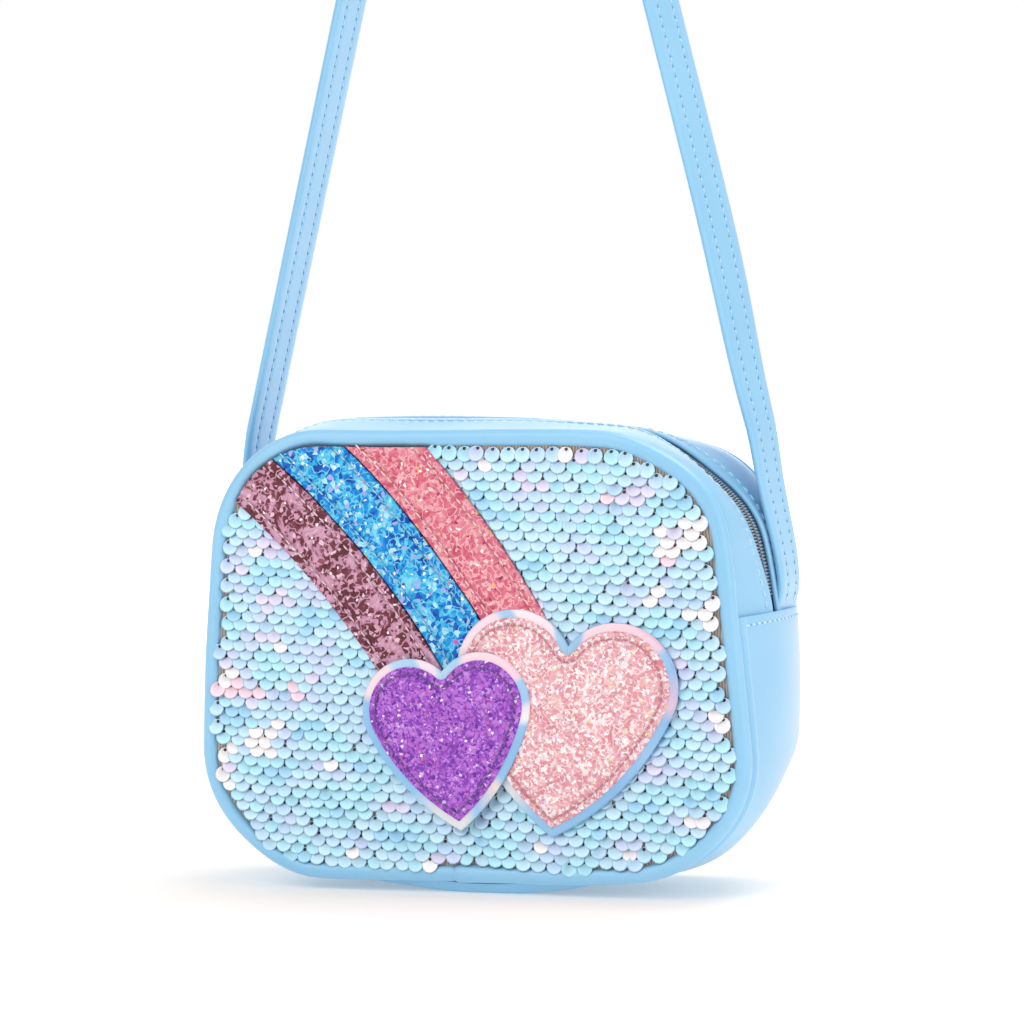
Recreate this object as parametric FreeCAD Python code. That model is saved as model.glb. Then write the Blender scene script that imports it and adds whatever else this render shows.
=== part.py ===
import FreeCAD, Part
import math
import os

# A small crossbody purse: a soft rounded box with a sequin front, a zip over its top and one long strap.
# Millimetres. Z is up, the sequin front faces -Y, and the base rests on Z = 0 with the origin at its middle.

# Body, measured on the crown of the side band
width = 193.0
side_taper = 5.5
height = 150.0
corner_radius = 43.5
band_width = 53.0
crown = 3.5
base_flat_depth = 0.7

# Sheets
skin = 1.2
strip_skin = 1.0
tape_sheet = 0.6
lining_sheet = 0.4
ground_sheet = 0.8
panel_foam = 2.0
sequin_coat = 1.4
stripe_sheet = 0.9
backing_sheet = 0.8
heart_sheet = 1.0

# Clearances
fit = 0.05
clearance = 0.3
overrun = 60.0

# Hem of the lower band, zip ends and fold line of the front
side_zip_length = 22.6
tuck = 8.0
fold_rise = 6.0

# Piping
piping_radius = 3.0
piping_core_radius = 1.8
piping_stand = 2.5
panel_edge_gap = 0.15

# Zip
zip_forward = 3.5
zip_gap = 9.2
zip_slit = 1.4
tape_width = 12.0
tooth_depth = 2.4
tooth_height = 1.6
tooth_length = 0.9
tooth_pitch = 2.2
stop_length = 2.2
stop_inset = 0.6
lining_setback = 5.8

# Zip slider and pull
slider_width = 8.4
slider_length = 11.0
slider_plate = 1.2
slider_post_length = 4.0
slider_post_width = 1.0
slider_park = 0.8
bridge_length = 8.0
bridge_width = 2.6
bridge_bar = 1.2
bridge_window_height = 2.0
pin_radius = 0.65
pull_arm_width = 1.2
pull_arm_length = 6.5
pull_length = 20.0
pull_width = 6.2
pull_sheet = 1.3

# Strap
strap_width = 21.0
strap_sheet = 2.4
strap_tuck_sheet = 0.7
strap_offset = 1.0
strap_pivot_rise = 41.0
strap_knee_rise = 12.0
strap_knee_radius = 90.0
strap_side_tilt = math.radians(2.5)
strap_lean = math.radians(1.6)
strap_meeting_rise = 415.0
hook_radius = 12.0

# Stripes: three rings about one far centre, cut off by the panel edge and the hearts.
# The foot of the inner edge is placed as the hearts are, and the centre follows from it.
stripe_radius = 230.0
stripe_width = 20.2
stripe_gap = 0.4
stripe_foot_place_shares = (-0.2893, 0.3864)
stripe_foot = math.radians(28.0)
stripe_head = math.radians(66.0)
stripe_edge_gap = 0.3

# Hearts: reach of the lobes, lobe radius, tip and side radius as shares of the front's height below the fold.
# Their places are the share of half the width to the right, and the share of that height below the fold.
heart_border_share = 0.0319
large_heart_shares = (0.1984, 0.235, 0.588, 0.9682)
large_heart_place_shares = (0.3513, 0.2976)
large_heart_turn = math.radians(-7.2)
small_heart_shares = (0.1381, 0.1925, 0.4629, 0.8265)
small_heart_place_shares = (-0.0674, 0.4062)
small_heart_turn = math.radians(5.5)

# Body outline: a belt round four equal corner circles, in order against the clock seen from the front
DEPTHWARD = FreeCAD.Vector(0, 1, 0)
AGAINST_CLOCK = FreeCAD.Vector(0, -1, 0)
foot_z = corner_radius - base_flat_depth
head_z = height - corner_radius
foot_x = width / 2 - corner_radius
head_x = foot_x - side_taper
side_lean = math.atan2(foot_x - head_x, head_z - foot_z)
FOOT_RIGHT = FreeCAD.Vector(foot_x, 0, foot_z)
FOOT_LEFT = FreeCAD.Vector(-foot_x, 0, foot_z)
HEAD_RIGHT = FreeCAD.Vector(head_x, 0, head_z)
HEAD_LEFT = FreeCAD.Vector(-head_x, 0, head_z)
quarter = math.pi / 2
BELT = {
    "base": (FOOT_LEFT, FOOT_RIGHT, -quarter, 0),
    "foot_right": (FOOT_RIGHT, FOOT_RIGHT, -quarter, quarter + side_lean),
    "right": (FOOT_RIGHT, HEAD_RIGHT, side_lean, 0),
    "head_right": (HEAD_RIGHT, HEAD_RIGHT, side_lean, quarter - side_lean),
    "top": (HEAD_RIGHT, HEAD_LEFT, quarter, 0),
    "head_left": (HEAD_LEFT, HEAD_LEFT, quarter, quarter - side_lean),
    "left": (HEAD_LEFT, FOOT_LEFT, math.pi - side_lean, 0),
    "foot_left": (FOOT_LEFT, FOOT_LEFT, math.pi - side_lean, quarter + side_lean),
}
TROUGH = ["left", "foot_left", "base", "foot_right", "right"]
ARCH = ["right", "head_right", "top", "head_left", "left"]

# Depths below the crown of the side band
strip_depth = skin + strap_tuck_sheet + 2 * fit
tape_depth = strip_depth + strip_skin + fit
lining_depth = tape_depth + tape_sheet + fit

# Places along the depth of the bag
band_front = -band_width / 2
band_rear = band_width / 2
crown_radius = (band_rear ** 2 + crown ** 2) / (2 * crown)
piping_y = band_front - piping_stand
inner_front = piping_y + piping_radius + clearance
piping_offset = -crown - piping_radius
panel_offset = piping_offset - piping_radius - panel_edge_gap
ground_rear = piping_y + clearance
ground_front = ground_rear - ground_sheet
sequin_front = ground_front - sequin_coat
stripe_front = sequin_front - stripe_sheet
foam_rear = ground_rear + panel_foam
zip_y = -zip_forward
back_face = band_rear + skin
back_foam_front = band_rear - panel_foam

# Heights
corner_z = head_z + corner_radius * math.sin(side_lean)
hem_z = corner_z - side_zip_length
tuck_z = hem_z - tuck
fold_z = hem_z + fold_rise
strap_pivot_z = hem_z + strap_pivot_rise
lower_front = fold_z - (foot_z - corner_radius - panel_offset)


def outward(angle):
    """Direction in the front plane at an angle from +X towards +Z."""
    return FreeCAD.Vector(math.cos(angle), 0, math.sin(angle))


def station(centre, angle):
    """Maps an offset from the outline and a depth to a point, at one place on the belt."""

    def place(offset, y):
        return centre + outward(angle) * (corner_radius + offset) + DEPTHWARD * y

    return place


def swell(y, depth):
    """Offset of the crowned band at a place across it, at a depth below its surface."""
    return math.sqrt((crown_radius - depth) ** 2 - y ** 2) - crown_radius


def line(a, b):
    return Part.LineSegment(a, b).toShape()


def arc(a, b, c):
    return Part.Arc(a, b, c).toShape()


def face(edges):
    return Part.Face(Part.Wire(edges))


def polygon(points):
    return Part.Face(Part.makePolygon(points + points[:1]))


def band_section(outer, inner, front, rear):
    """Crowned cross-section of one sheet of the side band, between two depths."""
    middle = (front + rear) / 2

    def build(place):
        top = [place(swell(y, outer), y) for y in (front, middle, rear)]
        low = [place(swell(y, inner), y) for y in (front, middle, rear)]
        return face([arc(*top), line(top[2], low[2]), arc(*low[::-1]), line(low[0], top[0])])

    return build


def round_section(offset, y, radii):
    """Round cross-section centred at an offset from the outline, hollow where it has a second radius."""

    def build(place):
        centre = place(offset, y)
        normal = (place(0, y) - centre).cross(DEPTHWARD)
        rings = [Part.Wire(Part.Circle(centre, normal, radius).toShape()) for radius in radii]
        return Part.makeFace(rings, "Part::FaceMakerBullseye")

    return build


def block_section(low, high, front, rear):
    """Square-edged cross-section between two offsets from the outline."""

    def build(place):
        return polygon([place(low, front), place(high, front), place(high, rear), place(low, rear)])

    return build


def carry(section, runs):
    """Carries a cross-section along the named runs of the belt."""
    pieces = []
    for name in runs:
        first, last, start, turn = BELT[name]
        cut_face = section(station(first, start))
        if turn:
            pieces.append(cut_face.revolve(first, AGAINST_CLOCK, math.degrees(turn)))
        else:
            pieces.append(cut_face.extrude(last - first))
    return pieces[0].multiFuse(pieces[1:]).removeSplitter()


def slab(low_z, high_z):
    """Block wider than the bag between two heights."""
    reach = width + overrun
    return Part.makeBox(2 * reach, 2 * reach, high_z - low_z, FreeCAD.Vector(-reach, -reach, low_z))


def between(shape, low_z, high_z):
    return shape.common(slab(low_z, high_z))


def below_fold(shape):
    return between(shape, -overrun, fold_z - clearance / 2)


def above_fold(shape):
    return between(shape, fold_z + clearance / 2, height + overrun)


def belt_plate(offset, front, rear):
    """Flat plate with the body outline at an offset, between two depths."""
    edges = []
    for first, last, start, turn in BELT.values():
        points = [station(first, start + turn * share)(offset, front) for share in (0, 1 / 2, 1)]
        if turn:
            edges.append(arc(*points))
        else:
            edges.append(line(points[0], station(last, start)(offset, front)))
    return face(edges).extrude(DEPTHWARD * (rear - front))


def on_front(place_shares, y):
    """Point on the front from its share of half the width and its share of the height below the fold."""
    return FreeCAD.Vector(place_shares[0] * width / 2, y, fold_z - place_shares[1] * lower_front)


def heart_plate(heart, border, front, sheet):
    """Heart of two round lobes and two flatter sides that meet at the tip, grown by a border."""
    shares, place_shares, turn = heart
    reach, lobe, tip, side = [share * lower_front for share in shares]
    # The side arc's centre lies inside both circles that touch the lobe and the tip from within.
    across = math.hypot(reach, tip)
    along = (across ** 2 + (side - lobe) ** 2 - side ** 2) / (2 * across)
    off = math.sqrt((side - lobe) ** 2 - along ** 2)
    side_x = reach - (along * reach + off * tip) / across
    side_z = (off * reach - along * tip) / across
    touch = math.atan2(-side_z, reach - side_x)
    end = -math.acos(-side_x / (side + border))
    notch = math.acos(-reach / (lobe + border))

    def lobe_at(angle):
        return FreeCAD.Vector(reach, 0, 0) + outward(angle) * (lobe + border)

    def side_at(angle):
        return FreeCAD.Vector(side_x, 0, side_z) + outward(angle) * (side + border)

    lobe_points = [lobe_at(notch), lobe_at((notch + touch) / 2), lobe_at(touch)]
    side_points = [lobe_at(touch), side_at((touch + end) / 2), side_at(end)]
    edges = [arc(*lobe_points), arc(*side_points)]
    mirrored = [[FreeCAD.Vector(-p.x, 0, p.z) for p in points] for points in (side_points, lobe_points)]
    edges += [arc(*points[::-1]) for points in mirrored]
    plate = face(edges).extrude(DEPTHWARD * sheet)
    plate.rotate(FreeCAD.Vector(), AGAINST_CLOCK, math.degrees(turn))
    plate.translate(on_front(place_shares, front))
    return plate


def stripe(number, blocked):
    """Curved stripe: one ring sector, trimmed by the panel edge and by the heart that covers it."""
    inner = stripe_radius + stripe_width * number + stripe_gap / 2
    outer = inner + stripe_width - stripe_gap
    centre = on_front(stripe_foot_place_shares, stripe_front) - outward(stripe_foot) * stripe_radius
    angles = [stripe_foot, (stripe_foot + stripe_head) / 2, stripe_head]
    low = [centre + outward(angle) * inner for angle in angles]
    high = [centre + outward(angle) * outer for angle in angles]
    ring = face([arc(*low), line(low[2], high[2]), arc(*high[::-1]), line(high[0], low[0])])
    field = belt_plate(panel_offset - stripe_edge_gap, stripe_front, sequin_front)
    return ring.extrude(DEPTHWARD * stripe_sheet).common(field).cut(blocked)


def seated(shape, centre, angle, offset, y):
    """Turns a shape so that its own +Z points outward, and sets its origin on the belt."""
    turn = FreeCAD.Rotation(AGAINST_CLOCK, math.degrees(angle - quarter))
    shape.Placement = FreeCAD.Placement(station(centre, angle)(offset, y), turn)
    return shape


def zip_stations(first, spacing, seat):
    """Places along the zip from the right hem over the top to the left hem, by distance on the tape."""
    side = HEAD_RIGHT - FOOT_RIGHT
    rise = hem_z - foot_z - (corner_radius + seat) * math.sin(side_lean)
    start = rise / math.cos(side_lean)
    lengths = [side.Length - start]
    lengths.append((corner_radius + seat) * (quarter - side_lean))
    lengths.append(2 * head_x)
    lengths += lengths[1::-1]
    count = math.floor((sum(lengths) - 2 * first) / spacing) + 1
    for number in range(count):
        way = first + number * spacing
        run = 0
        while way > lengths[run]:
            way -= lengths[run]
            run += 1
        begin, finish, angle, turn = BELT[ARCH[run]]
        if turn:
            yield begin, angle + turn * way / lengths[run]
        else:
            along = finish - begin
            skipped = start if run == 0 else 0
            yield begin + along * ((way + skipped) / along.Length), angle


def tooth_row(front, shift):
    """Row of separate teeth along one tape."""
    seat = swell(zip_y, tape_depth) + fit
    corner = FreeCAD.Vector(-tooth_length / 2, front, 0)
    margin = stop_inset + stop_length + tooth_pitch + shift
    teeth = []
    for centre, angle in zip_stations(margin, tooth_pitch, seat):
        tooth = Part.makeBox(tooth_length, tooth_depth, tooth_height, corner)
        teeth.append(seated(tooth, centre, angle, seat, 0))
    return Part.makeCompound(teeth)


def end_stops():
    """Block over both tapes at each end of the zip."""
    seat = swell(zip_y, tape_depth) + fit
    half = zip_slit / 2 + tooth_depth
    corner = FreeCAD.Vector(-stop_length / 2, zip_y - half, 0)
    stops = []
    places = list(zip_stations(stop_inset + stop_length / 2, stop_length, seat))
    for centre, angle in (places[0], places[-1]):
        block = Part.makeBox(stop_length, 2 * half, tooth_height, corner)
        stops.append(seated(block, centre, angle, seat, 0))
    return Part.makeCompound(stops)


# Zip slider, curved like the corner that it runs round
slider_span = slider_length / corner_radius
slider_angle = math.pi - side_lean - slider_span / 2 - slider_park / corner_radius
slider_low = swell(zip_y, tape_depth + tape_sheet) - clearance
slider_high = swell(zip_y, tape_depth) + fit + tooth_height + clearance
pin_offset = slider_high + slider_plate + bridge_window_height / 2


def slider_block(length, half_width, low, high):
    """Block on the slider's arc, centred on the parked slider."""
    span = length / corner_radius
    place = station(HEAD_LEFT, slider_angle - span / 2)
    section = block_section(low, high, zip_y - half_width, zip_y + half_width)(place)
    return section.revolve(HEAD_LEFT, AGAINST_CLOCK, math.degrees(span))


def zip_slider():
    """Two plates joined by a post between the tapes, with a bridge over the upper plate."""
    plate_top = slider_high + slider_plate
    bridge_top = plate_top + bridge_window_height + bridge_bar
    body = slider_block(slider_length, slider_width / 2, slider_high, plate_top)
    under = slider_block(slider_length, slider_width / 2, slider_low - slider_plate, slider_low)
    post = slider_block(slider_post_length, slider_post_width / 2, slider_low - slider_plate, plate_top)
    bridge = slider_block(bridge_length, bridge_width / 2, slider_high, bridge_top)
    window_length = bridge_length - 2 * bridge_bar
    window_top = plate_top + bridge_window_height
    window = slider_block(window_length, bridge_width, plate_top, window_top)
    return body.multiFuse([under, post, bridge.cut(window)]).removeSplitter()


def zip_pull():
    """Flat tab on two arms, with a pin through the slider's bridge."""
    arm_y = bridge_width / 2 + clearance
    pin_half = arm_y + pull_arm_width
    half = pull_sheet / 2
    pin = Part.makeCylinder(pin_radius, 2 * pin_half, FreeCAD.Vector(0, -pin_half, 0), DEPTHWARD)
    pieces = []
    for low_y in (arm_y, -pin_half):
        corner = FreeCAD.Vector(-pull_arm_length, low_y, -half)
        pieces.append(Part.makeBox(pull_arm_length, pull_arm_width, pull_sheet, corner))
        knuckle = FreeCAD.Vector(0, low_y, 0)
        pieces.append(Part.makeCylinder(half, pull_arm_width, knuckle, DEPTHWARD))
    tail = pull_length - pull_width / 2
    corner = FreeCAD.Vector(-tail, -pull_width / 2, -half)
    pieces.append(Part.makeBox(tail - pull_arm_length, pull_width, pull_sheet, corner))
    pieces.append(Part.makeCylinder(pull_width / 2, pull_sheet, FreeCAD.Vector(-tail, 0, -half)))
    pull = pin.multiFuse(pieces).removeSplitter()
    return seated(pull, HEAD_LEFT, slider_angle, pin_offset, zip_y)


# Strap
strap_front = zip_y + slider_width / 2 + strap_offset
strap_rear = strap_front + strap_width
strap_middle = (strap_front + strap_rear) / 2
strap_end_top = strap_pivot_z - strap_width / 2 - clearance
hem_x = foot_x - (hem_z - foot_z) * math.tan(side_lean) + (corner_radius - strip_depth) / math.cos(side_lean)
strap_hem_x = hem_x + fit + strap_sheet / 2


def leg_point(z):
    """Middle of the right leg's lower run at a height."""
    return FreeCAD.Vector(strap_hem_x - (z - hem_z) * math.tan(strap_side_tilt), strap_front, z)


def mirror_x(p):
    return FreeCAD.Vector(-p.x, p.y, p.z)


def strap_path(side):
    """Edges of one face of the strap, from the right leg over the hook to the left leg."""
    foot = leg_point(strap_pivot_z - strap_width / 2)
    knee = leg_point(strap_pivot_z + strap_knee_rise)
    meeting = FreeCAD.Vector(0, strap_front, hem_z + strap_meeting_rise)
    leg_lean = math.atan2(knee.x, meeting.z - knee.z)
    knee_turn = leg_lean - strap_side_tilt
    knee_centre = (
        knee
        - outward(quarter + strap_side_tilt) * (strap_knee_radius * math.tan(knee_turn / 2))
        - outward(strap_side_tilt) * strap_knee_radius
    )
    hook_centre = meeting - FreeCAD.Vector(0, 0, (hook_radius + strap_sheet / 2) / math.sin(leg_lean))
    reach = side * strap_sheet / 2
    knee_angles = (strap_side_tilt, (strap_side_tilt + leg_lean) / 2, leg_lean)
    hook_angles = (leg_lean, quarter, math.pi - leg_lean)
    knee_points = [knee_centre + outward(a) * (strap_knee_radius + reach) for a in knee_angles]
    hook_size = hook_radius + strap_sheet / 2 + reach
    hook_points = [hook_centre + outward(a) * hook_size for a in hook_angles]
    start = foot + outward(strap_side_tilt) * reach
    left_knee = [mirror_x(p) for p in knee_points[::-1]]
    edges = [line(start, knee_points[0]), arc(*knee_points), line(knee_points[2], hook_points[0])]
    edges += [arc(*hook_points), line(hook_points[2], left_knee[0]), arc(*left_knee)]
    edges.append(line(left_knee[2], mirror_x(start)))
    return edges, start


def strap():
    """Flat band in a tall loop, its two feet rounded about the line that they swing on."""
    outer, outer_start = strap_path(1)
    inner, inner_start = strap_path(-1)
    closing = [line(mirror_x(outer_start), mirror_x(inner_start)), line(inner_start, outer_start)]
    edges = Part.__sortEdges__(outer + closing + inner)
    band = face(edges).extrude(DEPTHWARD * strap_width)
    reach = width + overrun
    swing_line = FreeCAD.Vector(-reach, strap_middle, strap_pivot_z)
    feet = Part.makeCylinder(strap_width / 2, 2 * reach, swing_line, FreeCAD.Vector(1, 0, 0))
    above = slab(strap_pivot_z, hem_z + strap_meeting_rise)
    band = band.common(feet.fuse(above)).removeSplitter()
    band.rotate(swing_line, FreeCAD.Vector(1, 0, 0), -math.degrees(strap_lean))
    return band


def strap_end():
    """Lower end of the strap on the right: flat outside, thinned where it goes under the hem."""
    low = leg_point(hem_z + clearance)
    high = leg_point(strap_end_top)
    half = outward(0) * (strap_sheet / 2)
    flat = polygon([low - half, low + half, high + half, high - half]).extrude(DEPTHWARD * strap_width)
    inner = skin + fit + strap_tuck_sheet
    thin = carry(band_section(skin + fit, inner, strap_front, strap_rear), ["right"])
    return flat.fuse(between(thin, tuck_z, hem_z + tuck / 2)).removeSplitter()


def left_twin(shape):
    return shape.mirror(FreeCAD.Vector(), FreeCAD.Vector(1, 0, 0))


def arch_band(outer, sheet, front, rear):
    """Sheet of the zip arch, from one tucked end over the top to the other."""
    return between(carry(band_section(outer, outer + sheet, front, rear), ARCH), tuck_z, height + overrun)


def trough_band(outer, sheet, front, rear, low_z, high_z):
    """Sheet of the lower band, from one side under the base to the other."""
    return between(carry(band_section(outer, outer + sheet, front, rear), TROUGH), low_z, high_z)


def lower_band_pieces(parts):
    foam_sheet = lining_depth - fit - skin
    parts["lower_gusset"] = trough_band(0, skin, band_front, band_rear, 0, hem_z)
    parts["gusset_foam"] = trough_band(skin, foam_sheet, inner_front, band_rear, -overrun, tuck_z - clearance)
    parts["gusset_lining"] = trough_band(lining_depth, lining_sheet, inner_front, band_rear, -overrun, hem_z)


def back_pieces(parts):
    lining_front = back_foam_front - lining_sheet
    inner_offset = swell(band_rear, lining_depth + lining_sheet) - clearance
    parts["back_panel"] = belt_plate(-crown, band_rear, back_face)
    parts["back_foam"] = belt_plate(inner_offset, back_foam_front, band_rear)
    parts["back_lining"] = belt_plate(inner_offset, lining_front, back_foam_front)


def zip_pieces(parts):
    front_edge = zip_y - zip_gap / 2
    rear_edge = zip_y + zip_gap / 2
    front_tape = zip_y - zip_slit / 2
    rear_tape = zip_y + zip_slit / 2
    front_strip = arch_band(strip_depth, strip_skin, inner_front, front_edge)
    parts["zip_strip_front_ends"] = below_fold(front_strip)
    parts["zip_strip_front"] = above_fold(front_strip)
    parts["zip_strip_rear"] = arch_band(strip_depth, strip_skin, rear_edge, band_rear)
    parts["zip_tape_front"] = arch_band(tape_depth, tape_sheet, front_tape - tape_width, front_tape)
    parts["zip_tape_rear"] = arch_band(tape_depth, tape_sheet, rear_tape, rear_tape + tape_width)
    front_lining = arch_band(lining_depth, lining_sheet, inner_front, zip_y - lining_setback)
    rear_lining = arch_band(lining_depth, lining_sheet, zip_y + lining_setback, band_rear)
    parts["zip_lining_front"] = above_fold(front_lining)
    parts["zip_lining_rear"] = between(rear_lining, hem_z + fit, height + overrun)
    parts["zip_teeth_front"] = tooth_row(front_tape - tooth_depth, 0)
    parts["zip_teeth_rear"] = tooth_row(rear_tape, tooth_pitch / 2)
    parts["zip_end_stops"] = end_stops()
    parts["zip_slider"] = zip_slider()
    parts["zip_pull"] = zip_pull()


def front_pieces(parts):
    lining_rear = foam_rear + lining_sheet
    cover = round_section(piping_offset, piping_y, (piping_radius, piping_core_radius))
    core = round_section(piping_offset, piping_y, (piping_core_radius,))
    for name, section in (("piping", cover), ("piping_core", core)):
        parts[name + "_lower"] = below_fold(carry(section, TROUGH))
        parts[name + "_upper"] = above_fold(carry(section, ARCH))
    sheets = {
        "sequin_field": belt_plate(panel_offset, sequin_front, ground_front),
        "ground_cloth": belt_plate(panel_offset, ground_front, ground_rear),
        "front_foam": belt_plate(panel_offset, ground_rear, foam_rear),
        "front_lining": belt_plate(panel_offset, foam_rear, lining_rear),
    }
    for name, sheet in sheets.items():
        parts[name + "_lower"] = below_fold(sheet)
        parts[name + "_upper"] = above_fold(sheet)


def patch_pieces(parts):
    large = (large_heart_shares, large_heart_place_shares, large_heart_turn)
    small = (small_heart_shares, small_heart_place_shares, small_heart_turn)
    border = heart_border_share * lower_front
    front = sequin_front
    for name, heart in (("heart_large", large), ("heart_small", small)):
        front -= backing_sheet
        parts[name + "_backing"] = heart_plate(heart, 0, front, backing_sheet)
        front -= heart_sheet
        parts[name + "_face"] = heart_plate(heart, -border, front, heart_sheet)
    blocked = heart_plate(large, clearance, stripe_front - heart_sheet, stripe_sheet + 2 * heart_sheet)
    for number, colour in enumerate(("rose", "blue", "coral")):
        parts["stripe_" + colour] = stripe(number, blocked)


def strap_pieces(parts):
    parts["strap_end_right"] = strap_end()
    parts["strap_end_left"] = left_twin(strap_end())
    parts["strap"] = strap()


def main():
    os.makedirs("parts", exist_ok=True)
    parts = {}
    lower_band_pieces(parts)
    back_pieces(parts)
    zip_pieces(parts)
    front_pieces(parts)
    patch_pieces(parts)
    strap_pieces(parts)
    for name, shape in parts.items():
        shape.exportStep("parts/" + name + ".step")
        box = shape.BoundBox
        print(name, len(shape.Solids), shape.isValid(), round(shape.Volume), end=" ")
        print([round(v, 1) for v in (box.XMin, box.XMax, box.YMin, box.YMax, box.ZMin, box.ZMax)])


main()
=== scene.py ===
import math

import bmesh
import bpy
import numpy as np
from mathutils import Matrix, Vector


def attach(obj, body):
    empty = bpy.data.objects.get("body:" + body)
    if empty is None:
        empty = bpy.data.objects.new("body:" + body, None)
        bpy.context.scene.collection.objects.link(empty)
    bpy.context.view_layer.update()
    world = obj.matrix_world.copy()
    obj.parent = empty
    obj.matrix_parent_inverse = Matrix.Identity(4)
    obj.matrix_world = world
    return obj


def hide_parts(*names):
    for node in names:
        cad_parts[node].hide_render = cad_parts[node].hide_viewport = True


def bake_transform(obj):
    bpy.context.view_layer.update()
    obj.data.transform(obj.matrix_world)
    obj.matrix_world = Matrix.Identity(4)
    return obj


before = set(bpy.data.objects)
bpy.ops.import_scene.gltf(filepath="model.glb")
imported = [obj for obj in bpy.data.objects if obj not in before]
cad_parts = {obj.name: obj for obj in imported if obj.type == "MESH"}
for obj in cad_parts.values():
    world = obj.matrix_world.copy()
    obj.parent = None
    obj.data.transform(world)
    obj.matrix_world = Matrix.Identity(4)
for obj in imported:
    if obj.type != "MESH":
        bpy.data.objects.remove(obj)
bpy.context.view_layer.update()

# A small crossbody purse: sequin front with glitter stripes and two heart patches, a zip over its top, one strap.
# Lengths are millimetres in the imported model's frame, and turn to metres when a mesh is made.
MM = 0.001
chance = np.random.default_rng(11)
scene = bpy.context.scene

# Body outline: a belt round four equal corner circles, against the clock from the left end of the base
CORNER = 43.5
FOOT_X, FOOT_Z = 53.0, 42.8
HEAD_X, HEAD_Z = 47.5, 106.5
QUARTER = math.pi / 2
LEAN = math.atan2(FOOT_X - HEAD_X, HEAD_Z - FOOT_Z)
RUNS = [2 * FOOT_X, CORNER * (QUARTER + LEAN), math.hypot(FOOT_X - HEAD_X, HEAD_Z - FOOT_Z)]
RUNS += [CORNER * (QUARTER - LEAN), 2 * HEAD_X]
BELT_WAY = np.cumsum([0.0] + RUNS + RUNS[3:0:-1])
BELT_X = np.array([-FOOT_X, FOOT_X, FOOT_X, HEAD_X, HEAD_X, -HEAD_X, -HEAD_X, -FOOT_X, -FOOT_X])
BELT_Z = np.array([FOOT_Z] * 3 + [HEAD_Z] * 4 + [FOOT_Z] * 2)
BELT_TURN = np.array([-1, -1, 0, 0, 1, 1, 2, 2, 3]) * QUARTER
BELT_TURN += np.array([0, 0, 1, 1, 0, 0, -1, -1, 0]) * LEAN
ROUND = BELT_WAY[-1]
# The sewn outline is uneven: drawn in at the foot corners and the upper right one, fuller at the upper left one.
# Each row is a place along the belt, its half width, and the growth at the front and at the back.
UNEVEN = [
    (BELT_WAY[1] + 30, 24, -2.4, -2.4), (BELT_WAY[8] - 30, 24, -2.2, -2.4), (FOOT_X, 45, -1.2, 0.0),
    (BELT_WAY[1] + 42, 36, 0.0, -3.4), (BELT_WAY[8] - 42, 36, 0.0, -3.4), (BELT_WAY[3] + 43, 22, -2.6, 0.0),
    (BELT_WAY[3] + 58, 26, 0.0, -2.5), (BELT_WAY[4] + 8, 34, -0.3, -2.4), (BELT_WAY[4] + 74, 24, 0.0, 0.8),
    (BELT_WAY[5] + 24, 32, 1.3, 0.0), (BELT_WAY[1] + 4, 22, -1.3, 0.0), (BELT_WAY[2] + 38, 30, 0.0, 2.4),
    (BELT_WAY[7] - 34, 32, 1.2, 2.4)]
BACK_RISE = 8.0

# Side band, hem and zip
BAND_HALF = 26.5
CROWN = 3.5
CROWN_RADIUS = (BAND_HALF ** 2 + CROWN ** 2) / (2 * CROWN)
HEM_Z = 87.64
HEM_ROW = 2.7
ZIP_Y = -3.5
FOLD_ROW = 3.2
LAP_RUN = 30
TAPE_DEPTH = 3.05
TAPE_SAG = 0.8
TEETH_PITCH = 1.1
# Each strip's seam and fold across the band, the lift of its fold where the mouth gapes, and its lap over the zip
REAR_STRIP = (26.9, 1.1, 0.9, 0.0)
FRONT_STRIP = (-26.6, -8.1, -0.2, 4.0)

# Front, from the ground cloth outwards
PIPING_OFFSET, PIPING_Y, PIPING_RADIUS = -6.1, -28.4, 2.75
PANEL_OFFSET, PANEL_MIDDLE_Z = -8.6, 75.0
GROUND_Y = -29.3
FRONT_DOME, FRONT_DOME_RUN = 1.6, 42
BACK_OFFSET = -3.6
SEQUIN_COAT = 1.9
SEQUIN_ROW, SEQUIN_STEP = 3.04, 4.9
STRIPE_SHEET, STRIPE_ROW = 0.9, 3.2
STRIPE_CENTRE = np.array([-225.7, -59.9])
STRIPE_RADIUS, STRIPE_PITCH = 235.8, 19.4
# Each heart's lobe reach and radius, depth of its tip, side radius, place to the right and up, and turn
LARGE_HEART = (16.8, 19.9, 49.8, 82.0, 34.6, 68.44, math.radians(-7.2))
SMALL_HEART = (11.9, 16.6, 38.9, 71.0, -5.0, 59.4, math.radians(5.5))
HEART_BORDER, HEART_ROW = -2.6, -4.9
FILM_SHEET, FILM_LIFT, PATCH_SHEET, PUFF_RUN = 0.6, 0.62, 0.8, 14

# Strap
STRAP_Y = 12.2
STRAP_WIDTH = 21.0
STRAP_SHEET, STRAP_TUCKED = 2.4, 0.7
STRAP_ROWS = (-4.4, 4.6)
STRAP_FOOT_X = 92.03
STRAP_TILT = math.radians(2.5)
STRAP_KNEE_RISE, STRAP_KNEE_RADIUS = 53, 90.0
STRAP_HOOK_RADIUS = 13.2
STRAP_PIVOT_Z = 128.64
STRAP_MEETING_Z = 502.64


def ease(t):
    """Smooth step from 0 to 1."""
    t = np.clip(t, 0, 1)
    return t * t * (3 - 2 * t)


def bump(t):
    """Bell of height 1 and half width about 1."""
    return np.exp(-t * t)


def rolled(from_edge, radius):
    """Quarter circle from 0 at an edge to 1 at a radius from it."""
    return np.sqrt(np.clip(1 - (1 - np.clip(from_edge / radius, 0, 1)) ** 2, 0, 1))


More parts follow.
